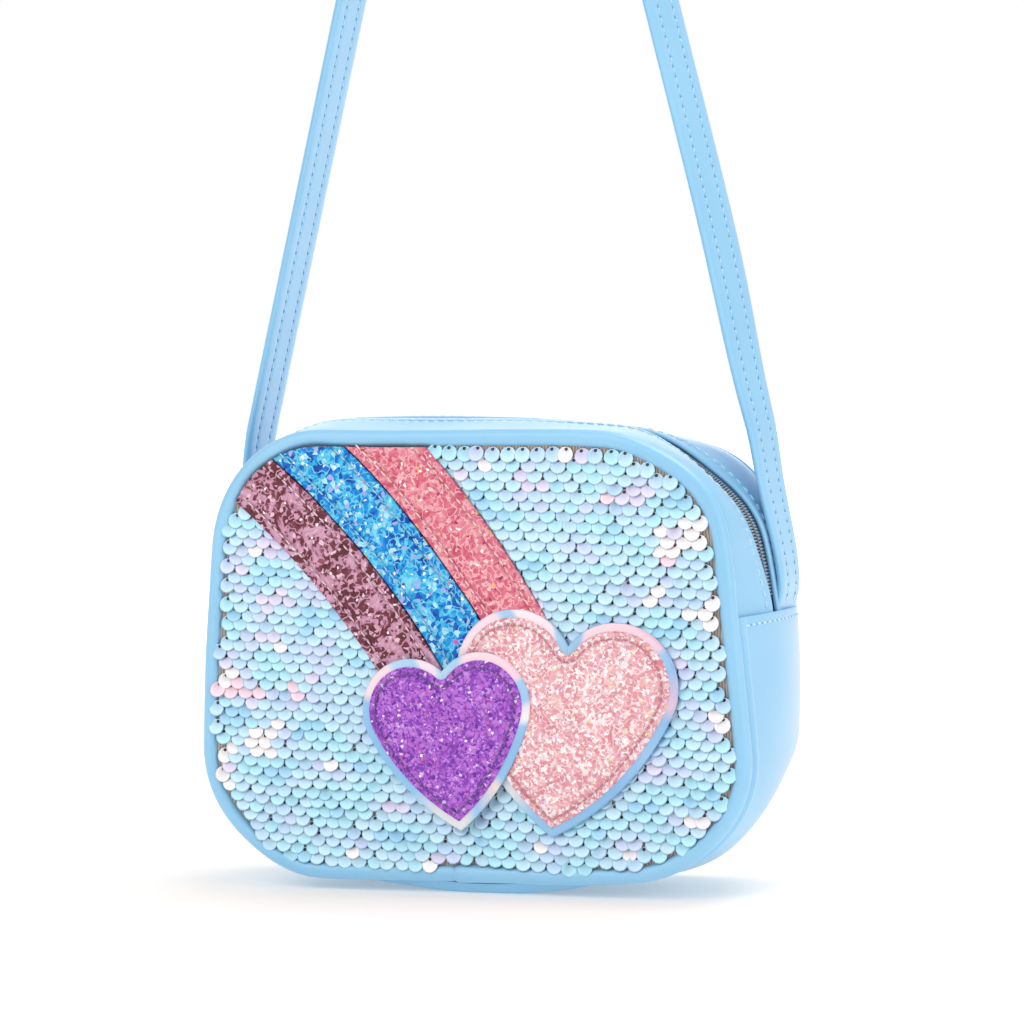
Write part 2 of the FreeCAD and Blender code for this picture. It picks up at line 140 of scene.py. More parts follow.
def way_from(place, way):
    """Way along the belt from a place, the short way round."""
    return np.mod(way - place + ROUND / 2, ROUND) - ROUND / 2


def belt(way, offset, y):
    """Point on the outline grown by an offset: the corner circle's centre at that way, plus its radius outwards.

    Bells along the way make it uneven, and the base rises towards the back."""
    way = np.mod(way, ROUND)
    rear = ease((y + 30) / 50)
    for place, width, at_front, at_back in UNEVEN:
        offset = offset + (at_front + (at_back - at_front) * rear) * bump(way_from(place, way) / width)
    turn = np.interp(way, BELT_WAY, BELT_TURN)
    x = np.interp(way, BELT_WAY, BELT_X) + (CORNER + offset) * np.cos(turn)
    z = np.interp(way, BELT_WAY, BELT_Z) + (CORNER + offset) * np.sin(turn)
    z = z + BACK_RISE * ease((y + 12) / 38) * ease((70 - z) / 70)
    return np.stack(np.broadcast_arrays(x, y, z), -1)


def belt_row(way, offset, y):
    """Points of a row on the belt, with their outward directions."""
    row = belt(way, offset, y)
    return row, belt(way, offset + 1, y) - row


def right_way(z):
    """Way along the belt to a height on the right side, which is a straight leaning run."""
    return BELT_WAY[2] + (z - FOOT_Z - CORNER * math.sin(LEAN)) / math.cos(LEAN)


def left_way(z):
    """Way to a height on the left side: the right side's way mirrored about the middle of the base."""
    return ROUND + 2 * FOOT_X - right_way(z)


def over_top(z, count):
    """Ways in even steps over the top, from a height on the right side to the same height on the left."""
    return np.linspace(right_way(z), left_way(z), count)


def from_hem(way):
    """Way above the nearer hem."""
    return np.minimum(way - right_way(HEM_Z), left_way(HEM_Z) - way)


def within_outline(x, z, edge):
    """Whether points lie within a closed edge: an odd number of edge crossings to their right."""
    a, b = edge, np.roll(edge, -1, axis=0)
    crosses = (a[:, 1] > z[:, None]) != (b[:, 1] > z[:, None])
    rise = np.where(b[:, 1] == a[:, 1], 1e-9, b[:, 1] - a[:, 1])
    at = a[:, 0] + (z[:, None] - a[:, 1]) / rise * (b[:, 0] - a[:, 0])
    return (crosses & (at > x[:, None])).sum(1) % 2 == 1


def inside(x, z, offset, y=PIPING_Y):
    """Depth inside the outline at the front, or at another y: the signed distance to its nearest straight piece."""
    edge = belt(np.linspace(0, ROUND, 240, endpoint=False), offset, y)[:, [0, 2]]
    run = np.roll(edge, -1, axis=0) - edge
    spot = np.stack([np.ravel(x), np.ravel(z)], -1)
    apart = spot[:, None] - edge
    share = np.clip((apart * run).sum(-1) / (run ** 2).sum(-1), 0, 1)
    nearest = np.linalg.norm(apart - share[..., None] * run, axis=-1).min(-1)
    within = within_outline(spot[:, 0], spot[:, 1], edge)
    return np.where(within, nearest, -nearest).reshape(np.shape(x))


def swell(y, depth):
    """Offset of the crowned band across its width: a shallow arc, at a depth below its surface."""
    return np.sqrt((CROWN_RADIUS - depth) ** 2 - np.clip(y, -BAND_HALF, BAND_HALF) ** 2) - CROWN_RADIUS


def ripple(a, b, seed):
    """Slow unevenness from -1 to 1: a mean of five crossed sine waves with fixed phases."""
    phase = np.random.default_rng(seed).uniform(0, 2 * math.pi, (5, 2))
    waves = [np.sin(a * (0.6 + 0.37 * k) + p) * np.sin(b * (0.9 - 0.13 * k) + q) for k, (p, q) in enumerate(phase)]
    return sum(waves) / len(waves) * 2


def front_y(x, z):
    """The front's soft dome: flat depth at its edge, swelling towards the middle."""
    dome = FRONT_DOME * ease(inside(x, z, PANEL_OFFSET) / FRONT_DOME_RUN)
    return GROUND_Y - dome - 0.25 * ripple(x / 17, z / 15, 3)


# Making meshes and pieces

def grid_faces(rows, columns, round_rows=False, round_columns=False):
    """Quads of a grid of points, joined to their start where a direction is round."""
    i = np.arange(rows if round_rows else rows - 1)[:, None]
    j = np.arange(columns if round_columns else columns - 1)[None, :]
    ahead, beside = (i + 1) % rows, (j + 1) % columns
    corners = i * columns + j, i * columns + beside, ahead * columns + beside, ahead * columns + j
    return np.stack(np.broadcast_arrays(*corners), -1).reshape(-1, 4)


def repeated(faces, count, size):
    """Faces of many equal shapes that have size points each."""
    return (faces + (np.arange(count) * size)[:, None, None]).reshape(-1, faces.shape[1])


def placed(name, data):
    """New object for a mesh, lamp or lens, linked into the scene."""
    made = bpy.data.objects.new(name, data)
    scene.collection.objects.link(made)
    return made


def piece(name, points, face_sets, material, nodes=()):
    """New object from points in millimetres and arrays of faces, smooth, with its finish and the nodes it replaces."""
    corners = np.concatenate([faces.ravel() for faces in face_sets])
    sizes = np.concatenate([np.full(len(faces), faces.shape[1]) for faces in face_sets])
    mesh = bpy.data.meshes.new(name)
    points = points.reshape(-1, 3)
    mesh.vertices.add(len(points))
    mesh.vertices.foreach_set("co", (points * MM).astype(np.float32).ravel())
    mesh.loops.add(len(corners))
    mesh.loops.foreach_set("vertex_index", corners.astype(np.int32))
    mesh.polygons.add(len(sizes))
    mesh.polygons.foreach_set("loop_start", (np.cumsum(sizes) - sizes).astype(np.int32))
    mesh.polygons.foreach_set("use_smooth", np.ones(len(sizes), bool))
    mesh.update(calc_edges=True)
    mesh.materials.append(material)
    made = placed(name, mesh)
    if nodes:
        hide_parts(*nodes)
    return made


def grid_piece(name, points, material, nodes, turned=False):
    """Piece from one open grid of points, with its faces turned over where asked."""
    faces = grid_faces(*points.shape[:2])
    return piece(name, points, [faces[:, ::-1] if turned else faces], material, nodes)


def points_of(made):
    """A piece's points in millimetres."""
    points = np.zeros(len(made.data.vertices) * 3, np.float32)
    made.data.vertices.foreach_get("co", points)
    return points.reshape(-1, 3) / MM


def turn_outwards(made):
    """Points the faces of closed shells outwards."""
    work = bmesh.new()
    work.from_mesh(made.data)
    bmesh.ops.recalc_face_normals(work, faces=work.faces)
    work.to_mesh(made.data)
    work.free()
    return made


def tubes(name, points, material, nodes=()):
    """Many closed tubes as one piece: each has rings of points, quads between them, and a cap at each end."""
    count, rings, sides = points.shape[:3]
    cap = np.arange(sides)
    caps = np.stack([cap[::-1], cap + (rings - 1) * sides])
    walls = grid_faces(rings, sides, round_columns=True)
    face_sets = [repeated(faces, count, rings * sides) for faces in (walls, caps)]
    return turn_outwards(piece(name, points, face_sets, material, nodes))


def spun(first, rows, last=None):
    """Points and faces of rings round one pole, or between two: fans at the poles and quads between the rings."""
    count, columns = rows.shape[:2]
    points = np.concatenate([np.reshape(first, (1, 3)), rows.reshape(-1, 3)])
    j = np.arange(columns)
    face_sets = [np.stack([0 * j, 1 + j, 1 + (j + 1) % columns], -1)]
    face_sets.append(1 + grid_faces(count, columns, round_columns=True))
    if last is not None:
        end = np.full(columns, len(points))
        base = 1 + (count - 1) * columns
        points = np.concatenate([points, np.reshape(last, (1, 3))])
        face_sets.append(np.stack([base + (j + 1) % columns, base + j, end], -1))
    return points, face_sets


def sheet_walls(made, thick, edge=0.0):
    """Gives an open surface its thickness inwards, and rounds the cut edges."""
    wall = made.modifiers.new("wall", "SOLIDIFY")
    wall.thickness = thick * MM
    wall.offset = -1
    if edge:
        rounding = made.modifiers.new("edge", "BEVEL")
        rounding.width = edge * MM
        rounding.segments = 2
        rounding.limit_method = "ANGLE"
        rounding.angle_limit = math.radians(50)
    return made


def tinted(made, colours, of="POINT"):
    """Stores one linear colour per point, or per face corner, as the attribute that the finish reads."""
    layer = made.data.attributes.new("tint", "FLOAT_COLOR", of)
    layer.data.foreach_set("color", np.asarray(colours, np.float32).ravel())
    return made


def shaded(made, painted_shade):
    """Stores a grey of painted shade per point, which darkens the finish."""
    return tinted(made, np.stack([painted_shade, painted_shade, painted_shade, np.ones_like(painted_shade)], -1))


def woven(made, along, across):
    """Stores cloth coordinates in metres, so that a weave follows the surface."""
    layer = made.data.uv_layers.new(name="cloth")
    corners = np.zeros(len(made.data.loops), np.int32)
    made.data.loops.foreach_get("vertex_index", corners)
    flat = np.stack(np.broadcast_arrays(along, across), -1).reshape(-1, 2) * MM
    layer.data.foreach_set("uv", flat[corners].astype(np.float32).ravel())
    return made


def cut_along(made):
    """Gives a sewn sheet back unchanged."""
    return made


def cut_round(made):
    """Gives a sewn sheet with a shaped cut back unchanged."""
    return made


def on_bag(made):
    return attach(made, "bag_body")


def over_fold(made):
    """Bakes the piece's placement into its mesh."""
    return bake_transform(made)


def over_swing(made):
    """Bakes the piece's placement into its mesh."""
    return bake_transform(made)


def stitches(name, paths, material, pitch, length, thick):
    """Thread rows. Each stitch is a spindle: a six-sided ring whose size follows a half ellipse along its length.

    paths holds pairs of points and outward directions along each row."""
    t = np.linspace(-0.97, 0.97, 5)[:, None]
    turn = np.arange(6) * math.pi / 3
    girth = np.sqrt(1 - t ** 2) * thick / 2
    blocks = []
    for points, outwards in paths:
        steps = np.linalg.norm(np.diff(points, axis=0), axis=1)
        way = np.concatenate([[0], np.cumsum(steps)])
        at = np.arange(pitch / 2, way[-1], pitch)
        places = [np.stack([np.interp(at + d, way, points[:, k]) for k in range(3)], -1) for d in (-0.4, 0, 0.4)]
        along = places[2] - places[0]
        along /= np.linalg.norm(along, axis=1, keepdims=True)
        up = np.stack([np.interp(at, way, outwards[:, k]) for k in range(3)], -1)
        side = np.cross(along, up)
        along, up, side, centre = [v[:, None, None, :] for v in (along, up, side, places[1])]
        ring = side * (np.cos(turn) * girth)[None, ..., None] + up * (np.sin(turn) * girth)[None, ..., None]
        blocks.append(centre + along * (t * length / 2)[None, ..., None] + ring)
    return tubes(name, np.concatenate(blocks), material)


def facing_front(path):
    """A row of points on the front, with its outward directions."""
    return path, np.tile([0.0, -1.0, 0.0], (len(path), 1))


# Finishes

def colour(code):
    """Linear colour of an sRGB hex value."""
    s = np.array([int(code[k:k + 2], 16) for k in (1, 3, 5)]) / 255
    return (*np.where(s <= 0.04045, s / 12.92, ((s + 0.055) / 1.055) ** 2.4), 1.0)


def fill(target, inputs):
    """Fills a node's inputs with values or links."""
    for key, value in inputs.items():
        if isinstance(value, bpy.types.NodeSocket):
            target.id_data.links.new(value, target.inputs[key])
        else:
            target.inputs[key].default_value = value


def node(tree, kind, inputs, stops=(), **settings):
    """Adds a shader node, sets its properties and colour stops, fills its inputs and gives its outputs."""
    made = tree.nodes.new("ShaderNode" + kind)
    for key, value in settings.items():
        setattr(made.color_ramp if stops else made, key, value)
    fill(made, inputs)
    for number, (place, code) in enumerate(stops):
        ramp = made.color_ramp.elements
        stop = ramp[number] if number < 2 else ramp.new(place)
        stop.position = place
        stop.color = colour(code)
    return made.outputs


def finish(name):
    """Starts a material, and gives it with its nodes and its one shader."""
    made = bpy.data.materials.new(name)
    made.use_nodes = True
    return made, made.node_tree, made.node_tree.nodes["Principled BSDF"]


def smooth_leather():
    """Polyurethane coated leather cloth, calendered smooth: an even satin blue with a faint pearl sheen."""
    made, tree, shader = finish("smooth_blue_leather_cloth")
    place = node(tree, "TexCoord", {})["Object"]
    # Patches of about 45 mm hardly differ in tone.
    cloud = node(tree, "TexNoise", {"Vector": place, "Scale": 1 / 0.045, "Detail": 2.0})
    tone = node(tree, "ValToRGB", {"Fac": cloud["Fac"]}, [(0.3, "#7fc1e8"), (0.7, "#8ac8ec")])
    # Pores of 0.5 mm, drawn at about twice their size so that they show, on slack of about 18 mm
    pores = node(tree, "TexNoise", {"Vector": place, "Scale": 1 / 0.0011, "Detail": 3.0})
    slack = node(tree, "TexNoise", {"Vector": place, "Scale": 1 / 0.018, "Detail": 1.0})
    height = node(tree, "Math", {0: slack["Fac"], 1: 6.0, 2: pores["Fac"]}, operation="MULTIPLY_ADD")
    relief = node(tree, "Bump", {"Height": height["Value"], "Strength": 0.12, "Distance": 0.0004})
    fill(shader, {
        "Base Color": tone["Color"], "Roughness": 0.45, "Specular IOR Level": 0.4, "Normal": relief["Normal"],
        "Sheen Weight": 0.2, "Sheen Roughness": 0.4, "Sheen Tint": colour("#e6dcff"),
        "Coat Weight": 1.0, "Coat IOR": 1.62, "Coat Roughness": 0.42})
    return made


def tinted_film(name, surface):
    """Glossy coated film, each point in its own stored tint."""
    made, tree, shader = finish(name)
    tint = node(tree, "Attribute", {}, attribute_name="tint")
    fill(shader, {"Base Color": tint["Color"], **surface})
    return made


def ground_knit():
    """Warp knitted ground cloth in silver taupe: fine ribs about 1 mm apart."""
    made, tree, shader = finish("taupe_ground_knit")
    place = node(tree, "TexCoord", {})["Object"]
    ribs = node(tree, "TexWave", {"Vector": place, "Scale": 0.314 / 0.001, "Distortion": 2.0, "Detail": 1.0})
    tone = node(tree, "ValToRGB", {"Fac": ribs["Fac"]}, [(0.2, "#8d8178"), (0.8, "#bdb1a5")])
    relief = node(tree, "Bump", {"Height": ribs["Fac"], "Strength": 0.5, "Distance": 0.0003})
    fill(shader, {"Base Color": tone["Color"], "Roughness": 0.6, "Sheen Weight": 0.3, "Normal": relief["Normal"]})
    return made


def plain_weave(name, dark, light, thread):
    """Plain woven polyester: over and under squares one thread wide, read from the cloth's own coordinates."""
    made, tree, shader = finish(name)
    place = node(tree, "UVMap", {}, uv_map="cloth")["UV"]
    check = node(tree, "TexChecker", {
        "Vector": place, "Scale": 1 / (thread * MM), "Color1": colour(dark), "Color2": colour(light)})
    relief = node(tree, "Bump", {"Height": check["Fac"], "Strength": 0.4, "Distance": 0.0002})
    fill(shader, {"Base Color": check["Color"], "Roughness": 0.7, "Sheen Weight": 0.25, "Normal": relief["Normal"]})
    return made


def glitter_cloth(name, patch, patch_stops, flake, flake_stops, shown, squiggle, squiggle_code, spark, coat):
    """Glitter flakes printed and glued on cloth: a patchy ground, flat flakes that each lean their own way, thin
    squiggles, and bright sparks painted in as glints. Stitched lines are pressed in, and painted shade from a stored
    tint darkens them.

    patch, flake and squiggle are sizes in millimetres, and shown and spark are shares of the surface."""
    made, tree, shader = finish(name)
    place = node(tree, "TexCoord", {})["Object"]
    cloud = node(tree, "TexNoise", {
        "Vector": place, "Scale": 1 / (patch * MM), "Detail": 4.0, "Roughness": 0.6, "Distortion": 0.8})
    ground = node(tree, "ValToRGB", {"Fac": cloud["Fac"]}, patch_stops)
    # Flakes are cells with wavering edges: red picks a flake's colour, green whether it shows.
    wander = node(tree, "TexNoise", {"Vector": place, "Scale": 1 / 0.002, "Detail": 1.0})
    bent = node(tree, "VectorMath", {0: wander["Color"], 1: (0.0012,) * 3, 2: place}, operation="MULTIPLY_ADD")
    cells = node(tree, "TexVoronoi", {"Vector": bent["Vector"], "Scale": 1 / (flake * MM)})
    part = node(tree, "SeparateColor", {"Color": cells["Color"]})
    flakes = node(tree, "ValToRGB", {"Fac": part["Red"]}, flake_stops, interpolation="CONSTANT")
    own = node(tree, "Math", {0: part["Green"], 1: 1 - shown}, operation="GREATER_THAN")
    mixed = node(tree, "Mix", {0: own["Value"], 6: ground["Color"], 7: flakes["Color"]}, data_type="RGBA")
    # Squiggles follow one level of a slow noise.
    level = node(tree, "TexNoise", {"Vector": place, "Scale": 1 / (squiggle * MM), "Detail": 1.5})
    line = node(tree, "Math", {0: level["Fac"], 1: 0.5, 2: 0.028}, operation="COMPARE")
    faint = node(tree, "Math", {0: line["Value"], 1: 0.8}, operation="MULTIPLY")
    lined = node(tree, "Mix", {0: faint["Value"], 6: mixed[2], 7: colour(squiggle_code)}, data_type="RGBA")
    # Sparks are 0.8 mm grains of near-white base colour: painted glints.
    dust = node(tree, "TexVoronoi", {"Vector": place, "Scale": 1 / 0.0008})
    dust_part = node(tree, "SeparateColor", {"Color": dust["Color"]})
    bright = node(tree, "Math", {0: dust_part["Red"], 1: 1 - spark}, operation="GREATER_THAN")
    sparks = node(tree, "Mix", {0: bright["Value"], 6: lined[2], 7: colour("#fdf8fb")}, data_type="RGBA")
    # The stored tint multiplies in painted shade along stitched lines and edges.
    tint = node(tree, "Attribute", {}, attribute_name="tint")
    pressed = node(tree, "Mix", {0: 1.0, 6: sparks[2], 7: tint["Color"]}, data_type="RGBA", blend_type="MULTIPLY")
    lean = node(tree, "VectorMath", {0: cells["Color"], 1: (0.5, 0.5, 0.5)}, operation="SUBTRACT")
    facing = node(tree, "NewGeometry", {})["Normal"]
    tilted = node(tree, "VectorMath", {0: lean["Vector"], 1: (0.6,) * 3, 2: facing}, operation="MULTIPLY_ADD")
    unit = node(tree, "VectorMath", {0: tilted["Vector"]}, operation="NORMALIZE")
    # The base cloth's threads, 0.5 mm apart, are drawn at 1 mm so that they show.
    threads = node(tree, "TexChecker", {"Vector": place, "Scale": 1 / 0.001})
    height = node(tree, "Math", {0: threads["Fac"], 1: 0.12, 2: cloud["Fac"]}, operation="MULTIPLY_ADD")
    relief = node(tree, "Bump", {
        "Height": height["Value"], "Strength": 0.4, "Distance": 0.0012, "Normal": unit["Vector"]})
    fill(shader, {
        "Base Color": pressed[2], "Roughness": 0.42, "Metallic": 0.1, "Specular IOR Level": 0.28,
        "Coat Weight": coat, "Coat Roughness": 0.2, "Normal": relief["Normal"]})
    return made


def sewing_thread(name, dark, light):
    """Twisted polyester thread: two plies seen as slanting bands 0.5 mm apart."""
    made, tree, shader = finish(name)
    place = node(tree, "TexCoord", {})["Object"]
    plies = node(tree, "TexWave", {"Vector": place, "Scale": 0.314 / 0.0005, "Distortion": 1.0},
                 bands_direction="DIAGONAL")
    tone = node(tree, "ValToRGB", {"Fac": plies["Fac"]}, [(0.2, dark), (0.7, light)])
    fill(shader, {"Base Color": tone["Color"], "Roughness": 0.5, "Sheen Weight": 0.3})
    return made


def metal(name, code, rough, wear):
    """Cast or moulded metal colour: cloudy roughness at about 3 mm, from handling."""
    made, tree, shader = finish(name)
    place = node(tree, "TexCoord", {})["Object"]
    cloud = node(tree, "TexNoise", {"Vector": place, "Scale": 1 / 0.003, "Detail": 3.0})
    spread = node(tree, "MapRange", {"Value": cloud["Fac"], "To Min": rough * 0.7, "To Max": rough * 1.3})
    fill(shader, {"Base Color": colour(code), "Metallic": 1.0 - wear, "Roughness": spread["Result"]})
    return made


LEATHER = smooth_leather()
# Punched polyester with a pearl coat, and cast vinyl under the hearts
SEQUIN = tinted_film("pearl_sequin_film", {
    "Roughness": 0.3, "Metallic": 0.1, "Coat Weight": 0.5, "Coat Roughness": 0.12})
FILM = tinted_film("tinted_vinyl_film", {"Roughness": 0.16, "Coat Weight": 0.8, "Coat Roughness": 0.05})
KNIT = ground_knit()
LINING = plain_weave("blue_lining_weave", "#8fbfe2", "#a9d3ef", 0.5)
TAPE = plain_weave("blue_zip_tape_weave", "#5c9cc8", "#79b4dc", 0.6)
TEETH = metal("silver_grey_zip_teeth", "#9aa3ab", 0.34, 0.4)
NICKEL = metal("nickel_plated_casting", "#c8cace", 0.22, 0.0)
WHITE_THREAD = sewing_thread("pale_blue_thread", "#9fd3f2", "#d2ebfa")
# Painted shade: dark blue spindles between the stitches stand in for the shade in the needle holes.
HOLE_SHADE = sewing_thread("shaded_needle_hole", "#4c98c6", "#68b0db")
ROSE_GLITTER = glitter_cloth(
    "dusky_rose_glitter", 8.0, [(0.41, "#5a2430"), (0.51, "#783a48"), (0.525, "#b07a95"), (0.63, "#d8a8c2")],
    1.1, [(0.0, "#d3a0ba"), (0.4, "#642b38"), (0.68, "#e6c3d4"), (0.85, "#8f5264")],
    0.28, 3.6, "#cd9bb5", 0.008, 0.05)
BLUE_GLITTER = glitter_cloth(
    "vivid_blue_glitter", 5.0, [(0.35, "#0049ae"), (0.46, "#007ad4"), (0.55, "#1aa6e4"), (0.66, "#7ed6f0")],
    1.5, [(0.0, "#0062c8"), (0.22, "#45bde8"), (0.46, "#0042a0"), (0.6, "#b2e4f4"), (0.86, "#a9aeee"),
          (0.97, "#e557b8"), (0.985, "#f6a25a")],
    0.36, 3.0, "#74d2ee", 0.016, 0.02)
CORAL_GLITTER = glitter_cloth(
    "coral_glitter", 5.0, [(0.32, "#bb4162"), (0.46, "#d66880"), (0.58, "#e08798"), (0.7, "#eba8b0")],
    1.0, [(0.0, "#cf5878"), (0.35, "#e99fa9"), (0.6, "#d96c83"), (0.8, "#f3cbc9"), (0.93, "#a8326c"),
          (0.97, "#e6b765")],
    0.28, 2.8, "#f2bac0", 0.012, 0.1)
PINK_GLITTER = glitter_cloth(
    "pale_pink_glitter", 5.0, [(0.32, "#d4838f"), (0.46, "#de9aa4"), (0.58, "#e8b1b8"), (0.7, "#eccbb8")],
    0.95, [(0.0, "#dd94a2"), (0.3, "#f6e6eb"), (0.6, "#e6abb7"), (0.8, "#fbf5f7"), (0.95, "#e7d49a"),
           (0.985, "#cf95cf")],
    0.42, 2.2, "#f7e3e7", 0.05, 0.1)
PURPLE_GLITTER = glitter_cloth(
    "purple_glitter", 4.0, [(0.3, "#7d35a8"), (0.46, "#aa5bcb"), (0.6, "#bd78d8"), (0.73, "#cfa2e6")],
    0.9, [(0.0, "#8a40be"), (0.35, "#bc72e2"), (0.6, "#682c9e"), (0.75, "#ca90ea"), (0.92, "#e2caf5"),
          (0.975, "#d0567e")],
    0.38, 2.2, "#6d2ea6", 0.008, 0.1)


# Body

def belly(way, y):
    """Offset of the base: full in the middle, where the bag rests, and drawn up towards both foot corners."""
    share = ease((FOOT_X + 34 - np.abs(way - FOOT_X)) / 34) * ease((14 - y) / 22)
    return (4.4 * bump((way - FOOT_X - 3) / 32) - 3.2) * share


def lower_band():
    """Band of base and lower sides: the belt's trough by the crowned width, its edges rolled into the seams."""
    way = np.linspace(left_way(HEM_Z) - ROUND, right_way(HEM_Z), 260)[:, None]
    y = np.concatenate([np.linspace(-27.6, -23, 14), np.linspace(-22, 22, 26), np.linspace(23, 27.1, 10)])[None, :]
    offset = swell(y, 0)
    offset = offset - 2.6 * np.clip((-24.9 - y) / 2.6, 0, 1) ** 2 + 0.4 * bump((y + 24.7) / 0.9)
    offset = offset - 1.7 * np.clip((y - 24.8) / 2.3, 0, 1) ** 2
    offset = offset + 0.35 * ripple(way / 19, y / 11, 5) * bump(y / 22)
    # The weight of the bag spreads the base flat in front of its middle.
    offset = offset - 0.9 * swell(np.clip(y, -23, 0), 0) * ease((FOOT_X + 12 - np.abs(way - FOOT_X)) / 40)
    points = belt(way, offset + belly(way, y), y)
    points[..., 2] = np.maximum(points[..., 2], 0)
    nodes = ["lower_gusset", "gusset_foam"]
    made = grid_piece("lower_gusset_band", points, LEATHER, nodes)
    return on_bag(cut_along(sheet_walls(made, 1.2, 0.35)))


def hem_stitches(name, thread, start, length, thick):
    """Topstitching below the hem on both sides, or the painted shade of the needle holes between its stitches."""
    y = np.linspace(start, 24.6, 60)
    paths = [belt_row(way(HEM_Z - HEM_ROW), swell(y, 0) + 0.1, y) for way in (right_way, left_way)]
    return on_bag(stitches(name, paths, thread, 3.4, length, thick))


def strip_depth(way):
    """Depth of the zip strips: under the hem at their ends, fuller over the top."""
    return 1.75 - 0.85 * ease((from_hem(way) - 6) / 40)


def gape(way):
    """How far the mouth stands open along the zip, from 0 over the top to 1 on the two corners and sides."""
    return 1 - ease((from_hem(way) - 38) / 26)


def valley(way, y):
    """Sag of the mouth along the zip at the upper right corner: one bell along the belt and across it."""
    return -6.2 * bump((way - BELT_WAY[3] - 30) / 24) * bump((y - ZIP_Y) / 12)


def strip_rise(way, from_edge, lift):
    """Rise of a zip strip near its fold: shut and full over the top, lifted or lowered where the mouth gapes."""
    return (lift * gape(way) + 1.0 * (1 - gape(way))) * bump(from_edge / 7)


def strip_form(way, y, y_far, y_edge, lift, lap):
    """Place across and offset of a zip strip between its seam and its fold.

    At its right end the fold moves over the zip by a lap, most at the hem and nothing 30 mm above it."""
    from_edge = np.abs(y - y_edge)
    low = ease((LAP_RUN - (way - right_way(HEM_Z))) / LAP_RUN)
    y = y + lap * low * np.clip(1 - from_edge / abs(y_far - y_edge), 0, 1)
    rise = strip_rise(way, from_edge, lift + 0.3 * lap * low)
    return y, swell(y, strip_depth(way)) + rise + valley(way, y)


def strip(name, y_far, y_edge, lift, lap, nodes):
    """Zip strip: out from the panel seam to the zip, round a small fold and back underneath."""
    way = over_top(81, 300)[:, None]
    inward = math.copysign(1, y_far - y_edge)
    run = np.concatenate([[0, 0.4, 1, 1.8, 3], np.linspace(4.5, abs(y_far - y_edge), 16)])[::-1]
    fold = np.linspace(0, math.pi, 6)[1:-1]
    from_fold = np.concatenate([run, -0.7 * np.sin(fold), np.linspace(0, 5, 5)])
    y = (y_edge + inward * from_fold)[None, :]
    under = np.concatenate([0 * run, 0.75 * (1 - np.cos(fold)), np.full(5, 1.5)])[None, :]
    pressed = 0.3 * bump((np.abs(y - y_edge) - FOLD_ROW) / 0.7)
    y, offset = strip_form(way, y, y_far, y_edge, lift, lap)
    seam = np.clip((np.abs(y) - 24.6) / 2.4, 0, 1)
    points = belt(way, offset - under - pressed - 1.7 * seam ** 2 + 0.2 * ripple(way / 16, y / 9, 8), y)
    made = grid_piece(name, points, LEATHER, nodes, turned=inward > 0)
    return cut_along(sheet_walls(made, 0.7))


def strip_stitches(name, y_far, y_edge, lift, lap):
    """Topstitching along one zip strip, near its fold."""
    way = over_top(88.5, 500)
    y, offset = strip_form(way, y_edge + math.copysign(FOLD_ROW, y_far - y_edge), y_far, y_edge, lift, lap)
    return stitches(name, [belt_row(way, offset - 0.1, y)], WHITE_THREAD, 3.4, 2.5, 0.85)


def tape(name, y_low, y_high, nodes):
    """Zip tape: a flat woven band under the strips."""
    way = over_top(82, 260)[:, None]
    y = np.linspace(y_low, y_high, 10)[None, :]
    points = belt(way, swell(y, TAPE_DEPTH) + TAPE_SAG * valley(way, y), y)
    made = grid_piece(name, points, TAPE, nodes)
    return cut_along(sheet_walls(woven(made, way, y), 0.5))


def teeth(name, y_low, y_high, shift, nodes):
    """Row of coil ridges: each a low arch along the zip, 0.8 mm long and 1.5 mm high, carried across the tape."""
    ways = np.arange(right_way(92.5) + shift, left_way(92.5), TEETH_PITCH)[:, None, None]
    seat = swell(ZIP_Y, TAPE_DEPTH) + TAPE_SAG * valley(ways, ZIP_Y)
    arch = np.linspace(0, math.pi, 6)[None, None, :]
    y = np.array([y_low, y_low + 0.25, y_high - 0.25, y_high])[None, :, None]
    size = np.array([0.75, 1, 1, 0.75])[None, :, None]
    points = belt(ways + 0.42 * np.cos(arch), seat + size * 1.5 * np.sin(arch) ** 0.7, y)
    return tubes(name, points, TEETH, nodes)


def piping():
    """Covered cord round the front: a round section carried along the belt, with a lapped end at the base."""
    way = np.linspace(0, ROUND, 880, endpoint=False)[:, None]
    turn = np.linspace(0, 2 * math.pi, 20, endpoint=False)[None, :]
    lap = way_from(47.5, way)
    step = np.mod(way - right_way(96), ROUND)
    radius = PIPING_RADIUS + 0.06 * ripple(way / 9, 2 * np.sin(turn), 2)
    radius = radius + 0.4 * (lap > 0) * (1 - ease(lap / 26)) - 0.3 * bump(lap / 0.7)
    radius = radius + 0.25 * (step < 20) * (1 - ease(step / 20))
    points = belt(way, PIPING_OFFSET + radius * np.cos(turn), PIPING_Y + radius * np.sin(turn))
    nodes = ["piping_lower", "piping_upper", "piping_core_lower", "piping_core_upper"]
    faces = grid_faces(*points.shape[:2], True, True)
    return over_fold(turn_outwards(piece("front_piping", points, [faces], LEATHER, nodes)))


def panel_rings(offset, y, shares):
    """Rings of a flat panel: the outline at an offset and depth, shrunk to its middle by each share."""
    way = np.linspace(0, ROUND, 260, endpoint=False)[None, :]
    middle = np.array([0.0, y, PANEL_MIDDLE_Z])
    return middle + np.asarray(shares)[:, None, None] * (belt(way, offset, y) - middle)


